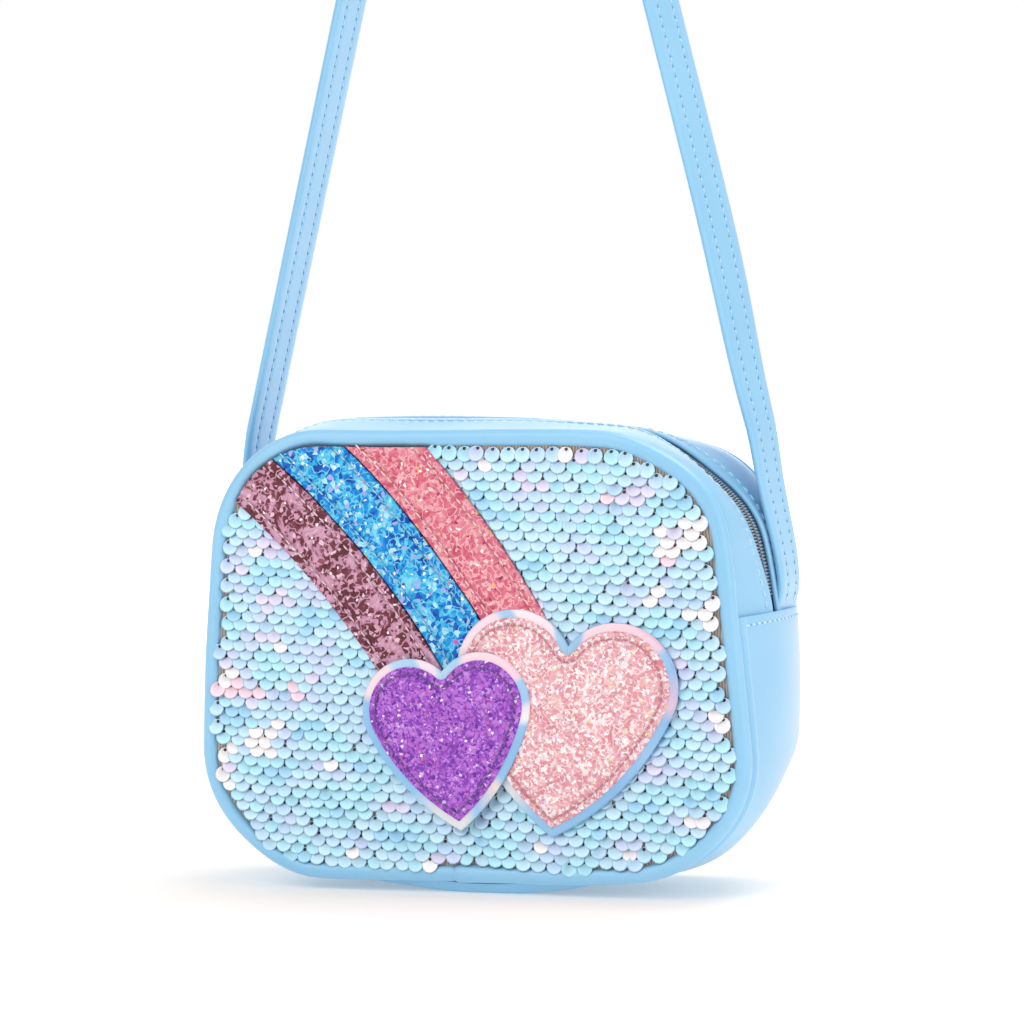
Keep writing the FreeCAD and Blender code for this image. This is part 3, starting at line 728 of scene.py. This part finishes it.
def pad(name, offset, y, front, rear, material, nodes):
    """Padded panel: two domes between poles, joined round the rim. front and rear give the depth at a place."""
    shares = np.concatenate([np.linspace(0.04, 0.88, 22), [0.92, 0.95, 0.975, 0.99, 1.0]])
    near, far = panel_rings(offset, y, shares), panel_rings(offset, y, shares[::-1])
    near[..., 1] = front(near[..., 0], near[..., 2])
    far[..., 1] = rear(far[..., 0], far[..., 2])
    middle = np.array(0.0), np.array(PANEL_MIDDLE_Z)
    poles = [np.array([0.0, depth(*middle), PANEL_MIDDLE_Z]) for depth in (front, rear)]
    points, face_sets = spun(poles[0], np.concatenate([near, far]), poles[1])
    made = turn_outwards(piece(name, points, face_sets, material, nodes))
    return made


def back_rear(x, z):
    """Outer dome of the back: rolled in at its seam, swelling 2.4 mm towards the middle."""
    depth = inside(x, z, BACK_OFFSET, BAND_HALF)
    dome = 1.7 * np.sqrt(np.clip(depth / 2.6, 0, 1)) + 2.4 * ease(depth / 45)
    return 26.0 + dome + 0.25 * ripple(x / 23, z / 19, 6)


def lining_panel(name, y, offset, nodes):
    """Flat lining sheet in a panel's outline."""
    rings = panel_rings(offset, y, np.linspace(0.05, 1, 14))
    points, face_sets = spun(np.array([0.0, y, PANEL_MIDDLE_Z]), rings)
    points[:, 1] = y + 0.3 * ripple(points[:, 0] / 14, points[:, 2] / 12, 9)
    made = piece(name, points, face_sets, LINING, nodes)
    return cut_round(woven(made, points[:, 0], points[:, 2]))


def lining_band(name, first, last, y_low, y_high, nodes):
    """Lining sheet of the band, with slack between its seams."""
    way = np.linspace(first, last, 160)[:, None]
    y = np.linspace(y_low, y_high, 14)[None, :]
    offset = swell(y, 4.0) + 0.25 * ripple(way / 13, y / 8, 10) + valley(way, y) + belly(way, y)
    points = belt(way, offset, y)
    made = grid_piece(name, points, LINING, nodes, turned=True)
    return cut_along(woven(made, way, y))


# Hearts, stripes and sequins

def heart_outline(heart, border):
    """Heart edge moved in by a border: an arc round the notch, round lobe arcs, and flatter side arcs to the tip."""
    reach, lobe, tip, side, right, up, turn = heart
    across = math.hypot(reach, tip)
    along = (across ** 2 + (side - lobe) ** 2 - side ** 2) / (2 * across)
    off = math.sqrt((side - lobe) ** 2 - along ** 2)
    side_x = reach - (along * reach + off * tip) / across
    side_z = (off * reach - along * tip) / across
    touch = math.atan2(-side_z, reach - side_x)
    notch = math.sqrt(lobe ** 2 - reach ** 2)
    notch_turn = np.linspace(-QUARTER, math.atan2(-notch, reach), 14)[:-1]
    lobe_turn = np.linspace(math.atan2(notch, -reach), touch, 60)[:-1]
    side_turn = np.linspace(touch, -math.acos(-side_x / (side + border)), 50)
    arcs = [(0, notch, -border, notch_turn), (reach, 0, lobe + border, lobe_turn),
            (side_x, side_z, side + border, side_turn)]
    x = np.concatenate([at_x + radius * np.cos(angle) for at_x, at_z, radius, angle in arcs])
    z = np.concatenate([at_z + radius * np.sin(angle) for at_x, at_z, radius, angle in arcs])
    x, z = np.concatenate([x, -x[-2:0:-1]]), np.concatenate([z, z[-2:0:-1]])
    return np.stack([x * math.cos(turn) - z * math.sin(turn) + right,
                     x * math.sin(turn) + z * math.cos(turn) + up], -1)


def heart_middle(heart):
    return np.array([heart[4], heart[5] - 0.16 * heart[2]])


def patch_surface(name, heart, border, lift, thick, roll, puff, material, nodes):
    """Sewn patch: rings from the heart's middle to its edge, puffed between, with a rolled rim and a flat back."""
    edge = heart_outline(heart, border)
    middle = heart_middle(heart)
    shares = np.concatenate([np.linspace(0.06, 0.86, 16), [0.9, 0.93, 0.955, 0.975, 0.99, 1.0]])
    flat = middle + shares[:, None, None] * (edge - middle)
    from_edge = (1 - shares)[:, None] * np.linalg.norm(edge - middle, axis=-1)
    base = front_y(flat[..., 0], flat[..., 1]) - lift
    top = base - thick * rolled(from_edge, roll) - puff * ease(from_edge / PUFF_RUN)
    front = np.stack([flat[..., 0], top, flat[..., 1]], -1)
    rear = np.stack([flat[..., 0], base + 0.02, flat[..., 1]], -1)[::-1]
    poles = [np.array([middle[0], y, middle[1]]) for y in (front[0, :, 1].mean(), rear[-1, :, 1].mean())]
    points, face_sets = spun(poles[0], np.concatenate([front, rear]), poles[1])
    return turn_outwards(piece(name, points, face_sets, material, nodes)), edge


def heart_layers(name, heart, lift, film_stops, cloth, thread, puff):
    """One heart: tinted film below, glitter cloth above, and a stitched line near the cloth's edge.

    film_stops holds bearings round the heart's middle in degrees, with the film's tint there."""
    film, edge = patch_surface("heart_%s_film" % name, heart, 0.0, lift, FILM_SHEET, 0.35, 0.1, FILM,
                               ["heart_%s_backing" % name])
    middle = heart_middle(heart)
    points = points_of(film)
    bearing = np.mod(np.degrees(np.arctan2(points[:, 2] - middle[1], points[:, 0] - middle[0])), 360)
    places = [place for place, code in film_stops]
    codes = np.array([colour(code) for place, code in film_stops])
    tints = np.stack([np.interp(bearing, places, codes[:, k], period=360) for k in range(4)], -1)
    on_bag(cut_round(tinted(film, tints)))
    face, edge = patch_surface("heart_%s_glitter" % name, heart, HEART_BORDER, lift + FILM_LIFT, PATCH_SHEET, 0.8,
                               puff, cloth, ["heart_%s_face" % name])
    row = heart_outline(heart, HEART_ROW)
    from_row = np.linalg.norm(points_of(face)[:, None, [0, 2]] - row, axis=-1).min(1)
    # Painted shade along the stitched row.
    on_bag(cut_round(shaded(face, 1 - 0.2 * bump(from_row / 0.8))))
    # The row starts on a lobe and closes there.
    start = 40
    row = np.concatenate([row[start:], row[:start + 1]])
    depth = front_y(row[:, 0], row[:, 1]) - lift - FILM_LIFT - PATCH_SHEET - puff * ease(3.0 / PUFF_RUN) - 0.1
    path = facing_front(np.stack([row[:, 0], depth, row[:, 1]], -1))
    return on_bag(stitches("heart_%s_stitching" % name, [path], thread, 2.4, 1.9, 0.75))


def on_stripe(radius, angle):
    """Place on the front at a radius and angle about the stripes' far centre."""
    return STRIPE_CENTRE[0] + radius * np.cos(angle), STRIPE_CENTRE[1] + radius * np.sin(angle)


def stripe_surface(number, name, material, foot, thread):
    """Glitter stripe: a ring band about a far centre, from under the hearts up to the piping.

    Its upper end is found by halving the angle between a place inside the panel and one outside it."""
    run = np.array([0, 0.25, 0.6, 1.1, 1.8, 2.5, 3.0, 3.5, 4.2, 5.5, 7.5, 10.0])
    width = STRIPE_PITCH - 0.08
    radius = STRIPE_RADIUS + STRIPE_PITCH * number + 0.04 + np.concatenate([run, width - run[-2::-1]])
    low, high = np.full(len(radius), math.radians(40)), np.full(len(radius), math.radians(70))
    for _ in range(30):
        middle = (low + high) / 2
        out = inside(*on_stripe(radius, middle), PANEL_OFFSET - 0.2) < 0
        low, high = np.where(out, low, middle), np.where(out, middle, high)
    share = np.linspace(0, 1, 110)[:, None]
    angle = math.radians(foot) + share * (low - math.radians(foot))
    x, z = on_stripe(radius, angle)
    from_edge = np.minimum(radius - radius[0], radius[-1] - radius)
    from_row = from_edge - STRIPE_ROW
    lift = SEQUIN_COAT - 0.5 + STRIPE_SHEET * rolled(from_edge, 0.5) + 0.5 * ease(from_row / 4)
    lift = lift - 0.4 * bump(from_row / 0.5)
    y = front_y(x, z) - lift - 0.2 * ripple(angle * 40, radius / 6, 20 + number)
    points = np.stack([x, y, z], -1)
    made = grid_piece("stripe_%s_cloth" % name, points, material, ["stripe_" + name])
    # Painted shade along the stitched rows, where the cloth is pressed in, and at the edges between stripes.
    shaded(made, 1 - 0.3 * bump(from_row / 0.5) - 0.15 * bump(from_edge / 0.5) + 0 * x)
    over_fold(cut_along(sheet_walls(made, 0.8)))
    paths = [facing_front(points[:, column] - np.array([0, 0.1, 0])) for column in (6, len(radius) - 7)]
    return over_fold(stitches("stripe_%s_stitching" % name, paths, thread, 3.0, 2.4, 0.7))


# From aqua through blue and lilac to pink and white
SEQUIN_TINTS = np.array([colour(code)[:3] for code in (
    "#8accf0", "#a0dff6", "#b2dff8", "#aed6f7", "#bacff5", "#d2cff0", "#efcbdd", "#f3f1f5")])


def sequin_places():
    """Centres of the sequins: sewn rows that slope and waver, even steps along, every other row shifted."""
    slope = math.radians(-3.2)
    row, column = np.meshgrid(np.arange(-50, 51), np.arange(-30, 31), indexing="ij")
    along = SEQUIN_STEP * (column + 0.5 * (row % 2)) + chance.normal(0, 0.18, row.shape)
    up = SEQUIN_ROW * row + 0.55 * np.sin(along / 31 + 0.6) + 0.3 * np.sin(along / 13 + row * 0.23)
    up = up + chance.normal(0, 0.14, row.shape)
    x = (along * math.cos(slope) - up * math.sin(slope)).ravel()
    z = PANEL_MIDDLE_Z + (along * math.sin(slope) + up * math.cos(slope)).ravel()
    # The discs reach over the piping on the left, and leave a bare margin of cloth round the upper right corner.
    margin = 0.8 - 0.3 * ease((-50 - x) / 20) - 0.8 * ease((34 - z) / 15)
    margin = margin + 0.7 * ease((x - 10) / 40) * ease((z - 95) / 25)
    keep = inside(x, z, PANEL_OFFSET) > margin
    radius = np.hypot(x - STRIPE_CENTRE[0], z - STRIPE_CENTRE[1]) - STRIPE_RADIUS
    angle = np.arctan2(z - STRIPE_CENTRE[1], x - STRIPE_CENTRE[0])
    keep &= ~((radius > 1.6) & (radius < 3 * STRIPE_PITCH - 1.6) & (angle > math.radians(33)))
    for heart in (LARGE_HEART, SMALL_HEART):
        keep &= ~within_outline(x, z, heart_outline(heart, -2.2))
    return x[keep], z[keep]


def sequin_colours(x, z):
    """Tint of each disc: aqua to blue in low wide patches, lilac to both sides, pink and white mostly near the edge."""
    near_edge = 1 - ease(inside(x, z, PANEL_OFFSET) / 9)
    lilac_right, lilac_left = bump((x - 62) / 26) * bump((z - 70) / 28), ease((-20 - x) / 40) * bump((z - 85) / 25)
    weight = np.zeros((len(x), len(SEQUIN_TINTS)))
    weight[:, 0] = 0.3
    weight[:, 1] = 0.8 + 1.6 * bump((z - 22) / 20)
    weight[:, 2] = 1.8
    weight[:, 3] = 0.9
    weight[:, 4] = 0.25 + 0.9 * lilac_right + 0.6 * lilac_left
    weight[:, 5] = 0.05 + 0.25 * near_edge + 0.8 * bump((z - 134) / 8) * (x > -10)
    weight[:, 5] += 0.7 * ease((-45 - x) / 20) * bump((z - 92) / 25)
    weight[:, 6] = 0.02 + 0.2 * near_edge * (x < 0) + 2.4 * bump((z - 62) / 4.5) * ease((-50 - x) / 12)
    weight[:, 7] = 0.03 + 0.5 * near_edge + 2.2 * bump((z - 45) / 6) * ease((-58 - x) / 14)
    weight[:, 7] += 2.2 * ease((x - 58) / 14) * bump((z - 102) / 22)
    total = np.cumsum(weight, axis=1)
    # A slow wave with some chance in it, ranked, so that neighbours in a row mostly share their tint
    wave = ripple(x / 10, z / 2.2, 31) + chance.normal(0, 0.3, len(x))
    rank = (np.argsort(np.argsort(wave)) + 0.5) / len(x)
    pick = (total < (rank * total[:, -1])[:, None]).sum(1)
    return SEQUIN_TINTS[pick] * chance.uniform(1.0, 1.07, len(x))[:, None]


def sequin_field():
    """Flip sequins: cupped discs of 5.2 mm, rings round a hole near their top, hung from it and leaning out below."""
    x, z = sequin_places()
    tints = sequin_colours(x, z)
    segments = 12
    turn = np.linspace(0, 2 * math.pi, segments, endpoint=False)
    # Each ring's radius, height of its middle, depth, share of the tint and painted glint. Painted shade darkens the
    # top of a disc where the row above hangs over it, its rim gets a painted highlight, and its cut edge a painted
    # shadow line.
    radii, rise, lip, painted_shade, painted_glint = np.array([
        (0.54, 1.78, 0.0, 0.7, 0.0), (2.3, 0.15, -0.05, 0.92, 0.1), (2.62, 0.0, -0.12, 0.8, 0.06),
        (2.62, 0.0, 0.2, 0.06, 0.0)]).T
    # The first point is the middle of the hole, with a fan round it.
    disc_x = np.append(0.0, radii[:, None] * np.cos(turn))
    disc_z = np.append(0.0, radii[:, None] * np.sin(turn) + (rise - rise[0])[:, None])
    disc_y = np.append(lip[0], np.repeat(lip, segments))
    tilt = np.radians(13.5 + chance.normal(0, 2.6, len(x)))[:, None]
    sway = np.radians(3.0 + chance.normal(0, 3.0, len(x)))[:, None]
    spin = np.radians(chance.normal(0, 10, len(x)))[:, None]
    # Turn in the disc's plane about the hole, then lean the lower edge outwards, then sideways.
    a = disc_x * np.cos(spin) - disc_z * np.sin(spin)
    b = disc_x * np.sin(spin) + disc_z * np.cos(spin)
    depth = disc_y * np.cos(tilt) + b * np.sin(tilt) + a * np.sin(sway)
    px = x[:, None] + a * np.cos(sway)
    pz = z[:, None] + rise[0] + (b * np.cos(tilt) - disc_y * np.sin(tilt))
    # Discs at the edge lie over the inner side of the piping.
    over = (0.35 + 0.3 * ease((-55 - x) / 15)) * (1 - ease(inside(x, z, PANEL_OFFSET) / 3.4))
    points = np.stack([px, (front_y(x, z) - 0.6 - over)[:, None] + depth, pz], -1)
    j = np.arange(segments)
    fan = np.stack([0 * j, 1 + j, 1 + (j + 1) % segments], -1)
    walls = 1 + grid_faces(len(radii), segments, round_columns=True)
    fan, walls = [repeated(faces, len(x), len(disc_x)) for faces in (fan, walls)]
    # The fan shows the dark hole: the brown thread and cloth seen through it, with painted shade. The rings show the
    # disc's tint times its painted shade, plus its painted highlight.
    painted_shade, painted_glint = [np.append(first, np.repeat(v, segments))[:, None] for first, v in ((1.0, painted_shade), (0.0, painted_glint))]
    rgb = tints[:, None, :] * painted_shade + painted_glint
    rgba = np.concatenate([rgb, np.ones((*rgb.shape[:2], 1))], -1).reshape(-1, 4)
    rgba = np.concatenate([np.tile(colour("#4a3430"), (fan.size, 1)), rgba[walls.ravel()]])
    nodes = ["sequin_field_lower", "sequin_field_upper"]
    return over_fold(tinted(piece("flip_sequins", points, [fan, walls], SEQUIN, nodes), rgba, "CORNER"))


# Strap

def strap_line():
    """Right half of the strap's middle line in the front plane: under the hem, up the side, round the knee, over the
    hook."""
    tilt, bend, hook = STRAP_TILT, STRAP_KNEE_RADIUS, STRAP_HOOK_RADIUS
    knee = np.array([STRAP_FOOT_X - STRAP_KNEE_RISE * math.tan(tilt), HEM_Z + STRAP_KNEE_RISE])
    lean = math.atan2(knee[0], STRAP_MEETING_Z - knee[1])
    reach = bend * math.tan((lean - tilt) / 2)
    up, out = np.array([-math.sin(tilt), math.cos(tilt)]), np.array([math.cos(tilt), math.sin(tilt)])
    centre = knee - reach * up - bend * out
    hook_z = STRAP_MEETING_Z - hook / math.sin(lean)
    low_z = np.linspace(77, HEM_Z, 12)[:-1]
    low_x = belt(right_way(low_z), -1.75, 0.0)[:, 0]
    leg_z = np.linspace(HEM_Z, knee[1] - reach, 26)[:-1]
    leg_x = STRAP_FOOT_X - (leg_z - HEM_Z) * math.tan(tilt) - 1.0 * (1 - ease((leg_z - HEM_Z) / 10))
    arc = np.linspace(tilt, lean, 12)
    over = np.linspace(lean, QUARTER, 20)
    run_start = centre + bend * np.array([math.cos(lean), math.sin(lean)])
    run_end = np.array([hook * math.cos(lean), hook_z + hook * math.sin(lean)])
    run = run_start + np.linspace(0, 1, 90)[1:-1, None] * (run_end - run_start)
    x = np.concatenate([low_x, leg_x, centre[0] + bend * np.cos(arc), run[:, 0], hook * np.cos(over)])
    z = np.concatenate([low_z, leg_z, centre[1] + bend * np.sin(arc), run[:, 1], hook_z + hook * np.sin(over)])
    return x, z


def strap_frame():
    """Whole middle line with its outward direction, thickness, lean backwards above the swing line, and twist.

    The right half hangs a little further in than the left one and turns its outer face to the front."""
    x, z = strap_line()
    free = ease((z - 100) / 40) * (1 - ease((z - 300) / 120))
    hem = 2.0 * (1 - ease((z - 92) / 45)) * (z > HEM_Z - 0.01)
    shift = hem - 1.3 * free - 2.2 * bump((z - 152) / 38) * ease((z - 90) / 30)
    twist = math.radians(12.7) * ease((z - 92) / 110) * (1 - ease((z - 330) / 120))
    twist = np.concatenate([twist, 0 * twist[-2::-1]])
    x = np.concatenate([x + shift, -x[-2::-1] - (hem + 1.2 * free)[-2::-1]])
    z = np.concatenate([z, z[-2::-1]])
    along = np.stack([np.gradient(x), np.gradient(z)], -1)
    along /= np.linalg.norm(along, axis=1, keepdims=True)
    outwards = np.stack([along[:, 1], -along[:, 0]], -1)
    thick = STRAP_TUCKED + (STRAP_SHEET - STRAP_TUCKED) * ease((z - HEM_Z - 0.3) / 6)
    back = math.tan(math.radians(1.6)) * np.maximum(z - STRAP_PIVOT_Z, 0)
    return x, z, outwards, thick, back, twist


def strap_point(strap, across, side):
    """Point at a distance across the band and out of its face. Near the hem the band follows the body's crown."""
    x, z, outwards, thick, back, twist = [v[:, None] if v.ndim == 1 else v[:, None, :] for v in strap]
    out = across * np.sin(twist) + side * np.cos(twist)
    out = out + 0.2 * swell(STRAP_Y + across, 0) * (1 - ease((z - HEM_Z) / 35))
    y = STRAP_Y + back + across * np.cos(twist) - side * np.sin(twist)
    return np.stack([x + outwards[..., 0] * out, y + 0 * out, z + outwards[..., 1] * out], -1)


def strap_face(across, thick):
    """Half thickness across the strap: full between rounded edges, pressed in along the two stitch rows."""
    share = np.abs(across) / (STRAP_WIDTH / 2)
    body = np.sqrt(np.clip(1 - share ** 14, 0, 1))
    pressed = 0.22 * sum(bump((across - row) / 0.8) for row in STRAP_ROWS)
    return thick / 2 * body * (1 - pressed)


def strap_band():
    """Flat doubled band: its section carried along the middle line, square to it."""
    strap = strap_frame()
    half = STRAP_WIDTH / 2
    across = np.concatenate([[-half, -half + 0.06, -half + 0.25, -half + 0.7, -8.5], np.linspace(-7, 7, 29),
                             [8.5, half - 0.7, half - 0.25, half - 0.06, half]])
    reach = strap_face(across[None, :], strap[3][:, None])
    sides = np.concatenate([reach, -reach[:, ::-1]], axis=1)
    points = strap_point(strap, np.concatenate([across, across[::-1]])[None, :], sides)
    rows, columns = points.shape[:2]
    j = np.arange(len(across) - 1)
    cap = np.stack([j, j + 1, columns - 2 - j, columns - 1 - j], -1)
    face_sets = [grid_faces(rows, columns, round_columns=True), cap, cap[:, ::-1] + (rows - 1) * columns]
    nodes = ["strap", "strap_end_left", "strap_end_right"]
    return over_swing(turn_outwards(piece("shoulder_strap", points, face_sets, LEATHER, nodes)))


def strap_stitches(name, thread, shift, length, thick):
    """Two rows of stitches on both faces of the strap, or of the painted shade in the needle holes between them."""
    strap = strap_frame()
    x, z, outwards = strap[:3]
    above = z > HEM_Z + 1.0
    first = np.argmax(above)
    paths = []
    for across in STRAP_ROWS:
        for side in (1, -1):
            reach = side * (strap_face(np.array(across), strap[3]) + 0.05)
            path = strap_point(strap, np.array([[across]]), reach[:, None])[:, 0]
            facing = np.stack([side * outwards[:, 0], 0 * x, side * outwards[:, 1]], -1)
            start = path[first:first + 1] + (path[first + 1] - path[first]) * shift / 3.0
            paths.append((np.concatenate([start, path[above][1:]]), facing[above]))
    return over_swing(stitches(name, paths, thread, 3.3, length, thick))


lower_band()
hem_stitches("hem_stitching", WHITE_THREAD, -24.3, 2.5, 0.85)
hem_stitches("hem_needle_hole_shade", HOLE_SHADE, -22.6, 1.7, 0.7)
on_bag(strip("zip_strip_rear_fold", *REAR_STRIP, ["zip_strip_rear"]))
over_fold(strip("zip_strip_front_fold", *FRONT_STRIP, ["zip_strip_front", "zip_strip_front_ends"]))
on_bag(strip_stitches("zip_rear_stitching", *REAR_STRIP))
over_fold(strip_stitches("zip_front_stitching", *FRONT_STRIP))
on_bag(tape("zip_tape_rear_weave", -2.8, 9.0, ["zip_tape_rear"]))
over_fold(tape("zip_tape_front_weave", -16.0, -4.2, ["zip_tape_front"]))
on_bag(teeth("zip_teeth_rear_row", -2.8, -0.4, TEETH_PITCH / 2, ["zip_teeth_rear"]))
over_fold(teeth("zip_teeth_front_row", -6.6, -4.2, 0.0, ["zip_teeth_front"]))
piping()
over_fold(pad("front_pad", -8.0, PIPING_Y, front_y, lambda x, z: 0 * x - 27.2, KNIT,
              ["ground_cloth_lower", "ground_cloth_upper", "front_foam_lower", "front_foam_upper"]))
on_bag(pad("back_pad", BACK_OFFSET, BAND_HALF, lambda x, z: 0 * x + 25.0, back_rear, LEATHER,
           ["back_panel", "back_foam"]))
over_fold(lining_panel("front_lining_cloth", -26.4, -9.6, ["front_lining_lower", "front_lining_upper"]))
on_bag(lining_panel("back_lining_cloth", 24.3, -8.2, ["back_lining"]))
on_bag(lining_band("gusset_lining_cloth", left_way(HEM_Z) - ROUND, right_way(HEM_Z), -25.6, 24.4, ["gusset_lining"]))
on_bag(lining_band("zip_lining_rear_cloth", right_way(89), left_way(89), 3.0, 24.4, ["zip_lining_rear"]))
over_fold(lining_band("zip_lining_front_cloth", right_way(94), left_way(94), -25.6, -10.0, ["zip_lining_front"]))
sequin_field()
stripe_surface(0, "rose", ROSE_GLITTER, 29.0, sewing_thread("rose_thread", "#b98a9c", "#f0d7e3"))
stripe_surface(1, "blue", BLUE_GLITTER, 27.5, sewing_thread("sky_blue_thread", "#3f9fd8", "#a4dcf4"))
stripe_surface(2, "coral", CORAL_GLITTER, 29.5, sewing_thread("coral_thread", "#e79aa3", "#fbdedd"))
heart_layers("large", LARGE_HEART, SEQUIN_COAT + 0.6, [
    (0, "#d9b9d6"), (14, "#9fb6de"), (18, "#83b8e2"), (27, "#8fc0e8"), (30, "#e8c3d6"), (62, "#f2d2de"),
    (72, "#eccfe0"), (75, "#86badf"), (96, "#93c3e6"), (99, "#f0dde8"), (118, "#f5e3ea"), (121, "#8fbfe6"),
    (126, "#9cc7ea"), (129, "#efd5e2"), (158, "#f3dbe6"), (161, "#86bbe4"), (215, "#7db6e4"), (222, "#a9cbe8"),
    (236, "#d9dde2"), (250, "#8abfe8"), (300, "#78b2e2"), (330, "#8dbfe8"), (352, "#7fb4e0")],
    PINK_GLITTER, sewing_thread("pink_thread", "#a95767", "#d98a96"), 0.5)
heart_layers("small", SMALL_HEART, SEQUIN_COAT + 2.6, [
    (2, "#8cbfe8"), (6, "#e9eef2"), (14, "#e6dfe8"), (18, "#8fc2ea"), (30, "#9ac6ea"), (34, "#f0cfdd"),
    (72, "#f3d6e2"), (78, "#9fc9ea"), (96, "#a6cdec"), (100, "#ecd8e6"), (112, "#efdce8"), (116, "#9cc8ea"),
    (132, "#a9cfec"), (136, "#eed6e2"), (158, "#f0dae4"), (164, "#84bce6"), (205, "#7ab8e6"), (240, "#86c0ea"),
    (262, "#d5dfe4"), (280, "#dfe3e2"), (290, "#8ec3ea"), (312, "#e8d9cf"), (320, "#86bce6"), (350, "#7fb6e2")],
    PURPLE_GLITTER, sewing_thread("violet_thread", "#3d1d6e", "#774aa8"), 0.6)
strap_band()
strap_stitches("strap_stitching", WHITE_THREAD, 0.0, 2.0, 0.7)
strap_stitches("strap_needle_hole_shade", HOLE_SHADE, 1.65, 1.4, 0.66)

# Carried-over metal and plastic
for name, material in (("zip_slider", NICKEL), ("zip_pull", NICKEL), ("zip_end_stops", TEETH)):
    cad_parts[name].data.materials.clear()
    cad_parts[name].data.materials.append(material)


# Floor, light and camera

WHITE = (1, 1, 1, 1)


def studio_floor():
    """White floor that takes the object's shadow and reads as white paper to the camera. To all other rays it glows
    evenly, and so lights the bag from below though it is no lamp.
    """
    made, tree, shader = finish("white_floor")
    path = node(tree, "LightPath", {})
    place = node(tree, "TexCoord", {})["Object"]
    away = node(tree, "VectorMath", {0: place}, operation="LENGTH")
    paper = node(tree, "MapRange", {
        "Value": away["Value"], "From Min": 0.4, "From Max": 1.4, "To Min": 0.22, "To Max": 1.0})
    seen = node(tree, "Math", {0: path["Is Camera Ray"], 1: path["Is Glossy Ray"]}, operation="MAXIMUM")
    glow = node(tree, "MapRange", {"Value": seen["Value"], "To Min": 0.28, "To Max": paper["Result"]})
    fill(shader, {
        "Base Color": colour("#f4ebe5"), "Roughness": 0.9, "Specular IOR Level": 0.1,
        "Emission Color": WHITE, "Emission Strength": glow["Result"]})
    mesh = bpy.data.meshes.new("floor")
    mesh.from_pydata([(-9, -9, 0), (9, -9, 0), (9, 9, 0), (-9, 9, 0)], [], [(0, 1, 2, 3)])
    mesh.materials.append(made)
    placed("floor", mesh)


def studio_world():
    """White surroundings: full white to the camera, three quarters in reflections, half as strong as light."""
    world = bpy.data.worlds.new("white_studio")
    world.use_nodes = True
    tree = world.node_tree
    path = node(tree, "LightPath", {})
    mirrored = node(tree, "Math", {0: path["Is Glossy Ray"], 1: 0.25, 2: 0.5}, operation="MULTIPLY_ADD")
    level = node(tree, "Math", {0: path["Is Camera Ray"], 1: 0.5, 2: mirrored["Value"]}, operation="MULTIPLY_ADD")
    fill(tree.nodes["Background"], {"Color": WHITE, "Strength": level["Value"]})
    scene.world = world


def softbox(name, place, size, power):
    """Square area lamp that faces the middle of the bag."""
    lamp = bpy.data.lights.new(name, "AREA")
    lamp.size = size
    lamp.energy = power
    made = placed(name, lamp)
    made.location = place
    made.rotation_euler = (Vector((0, 0, 0.08)) - Vector(place)).to_track_quat("-Z", "Y").to_euler()


def camera():
    """Camera 1.1 m from the bag, 21.7 degrees to its right and 2.2 degrees above, turned 1.4 degrees."""
    around, above, roll = math.radians(21.7), math.radians(2.2), math.radians(-1.4)
    distance, focal_pixels, picture_pixels, sensor = 1.1, 3430, 1024, 36
    back = Vector((math.sin(around) * math.cos(above), -math.cos(around) * math.cos(above), math.sin(above)))
    right = Vector((math.cos(around), math.sin(around), 0))
    up = back.cross(right)
    turned_right = right * math.cos(roll) + up * math.sin(roll)
    turned_up = up * math.cos(roll) - right * math.sin(roll)
    lens = bpy.data.cameras.new("camera")
    lens.lens = sensor * focal_pixels / picture_pixels
    lens.clip_end = 50
    turn = Matrix((turned_right, turned_up, back)).transposed().to_4x4()
    scene.camera = placed("camera", lens)
    scene.camera.matrix_world = Matrix.Translation(Vector((0.0055, -0.0015, 0.1193)) + back * distance) @ turn


studio_floor()
studio_world()
softbox("key_light", (-0.5, -1.2, 1.05), 1.2, 8.6)
softbox("fill_light", (1.4, -0.45, 0.4), 1.1, 5.5)
softbox("rim_light", (-0.6, 1.45, 0.45), 1.0, 5)
softbox("top_light", (0.34, 0.34, 1.48), 1.0, 11.8)
camera()
scene.view_settings.view_transform = "Standard"
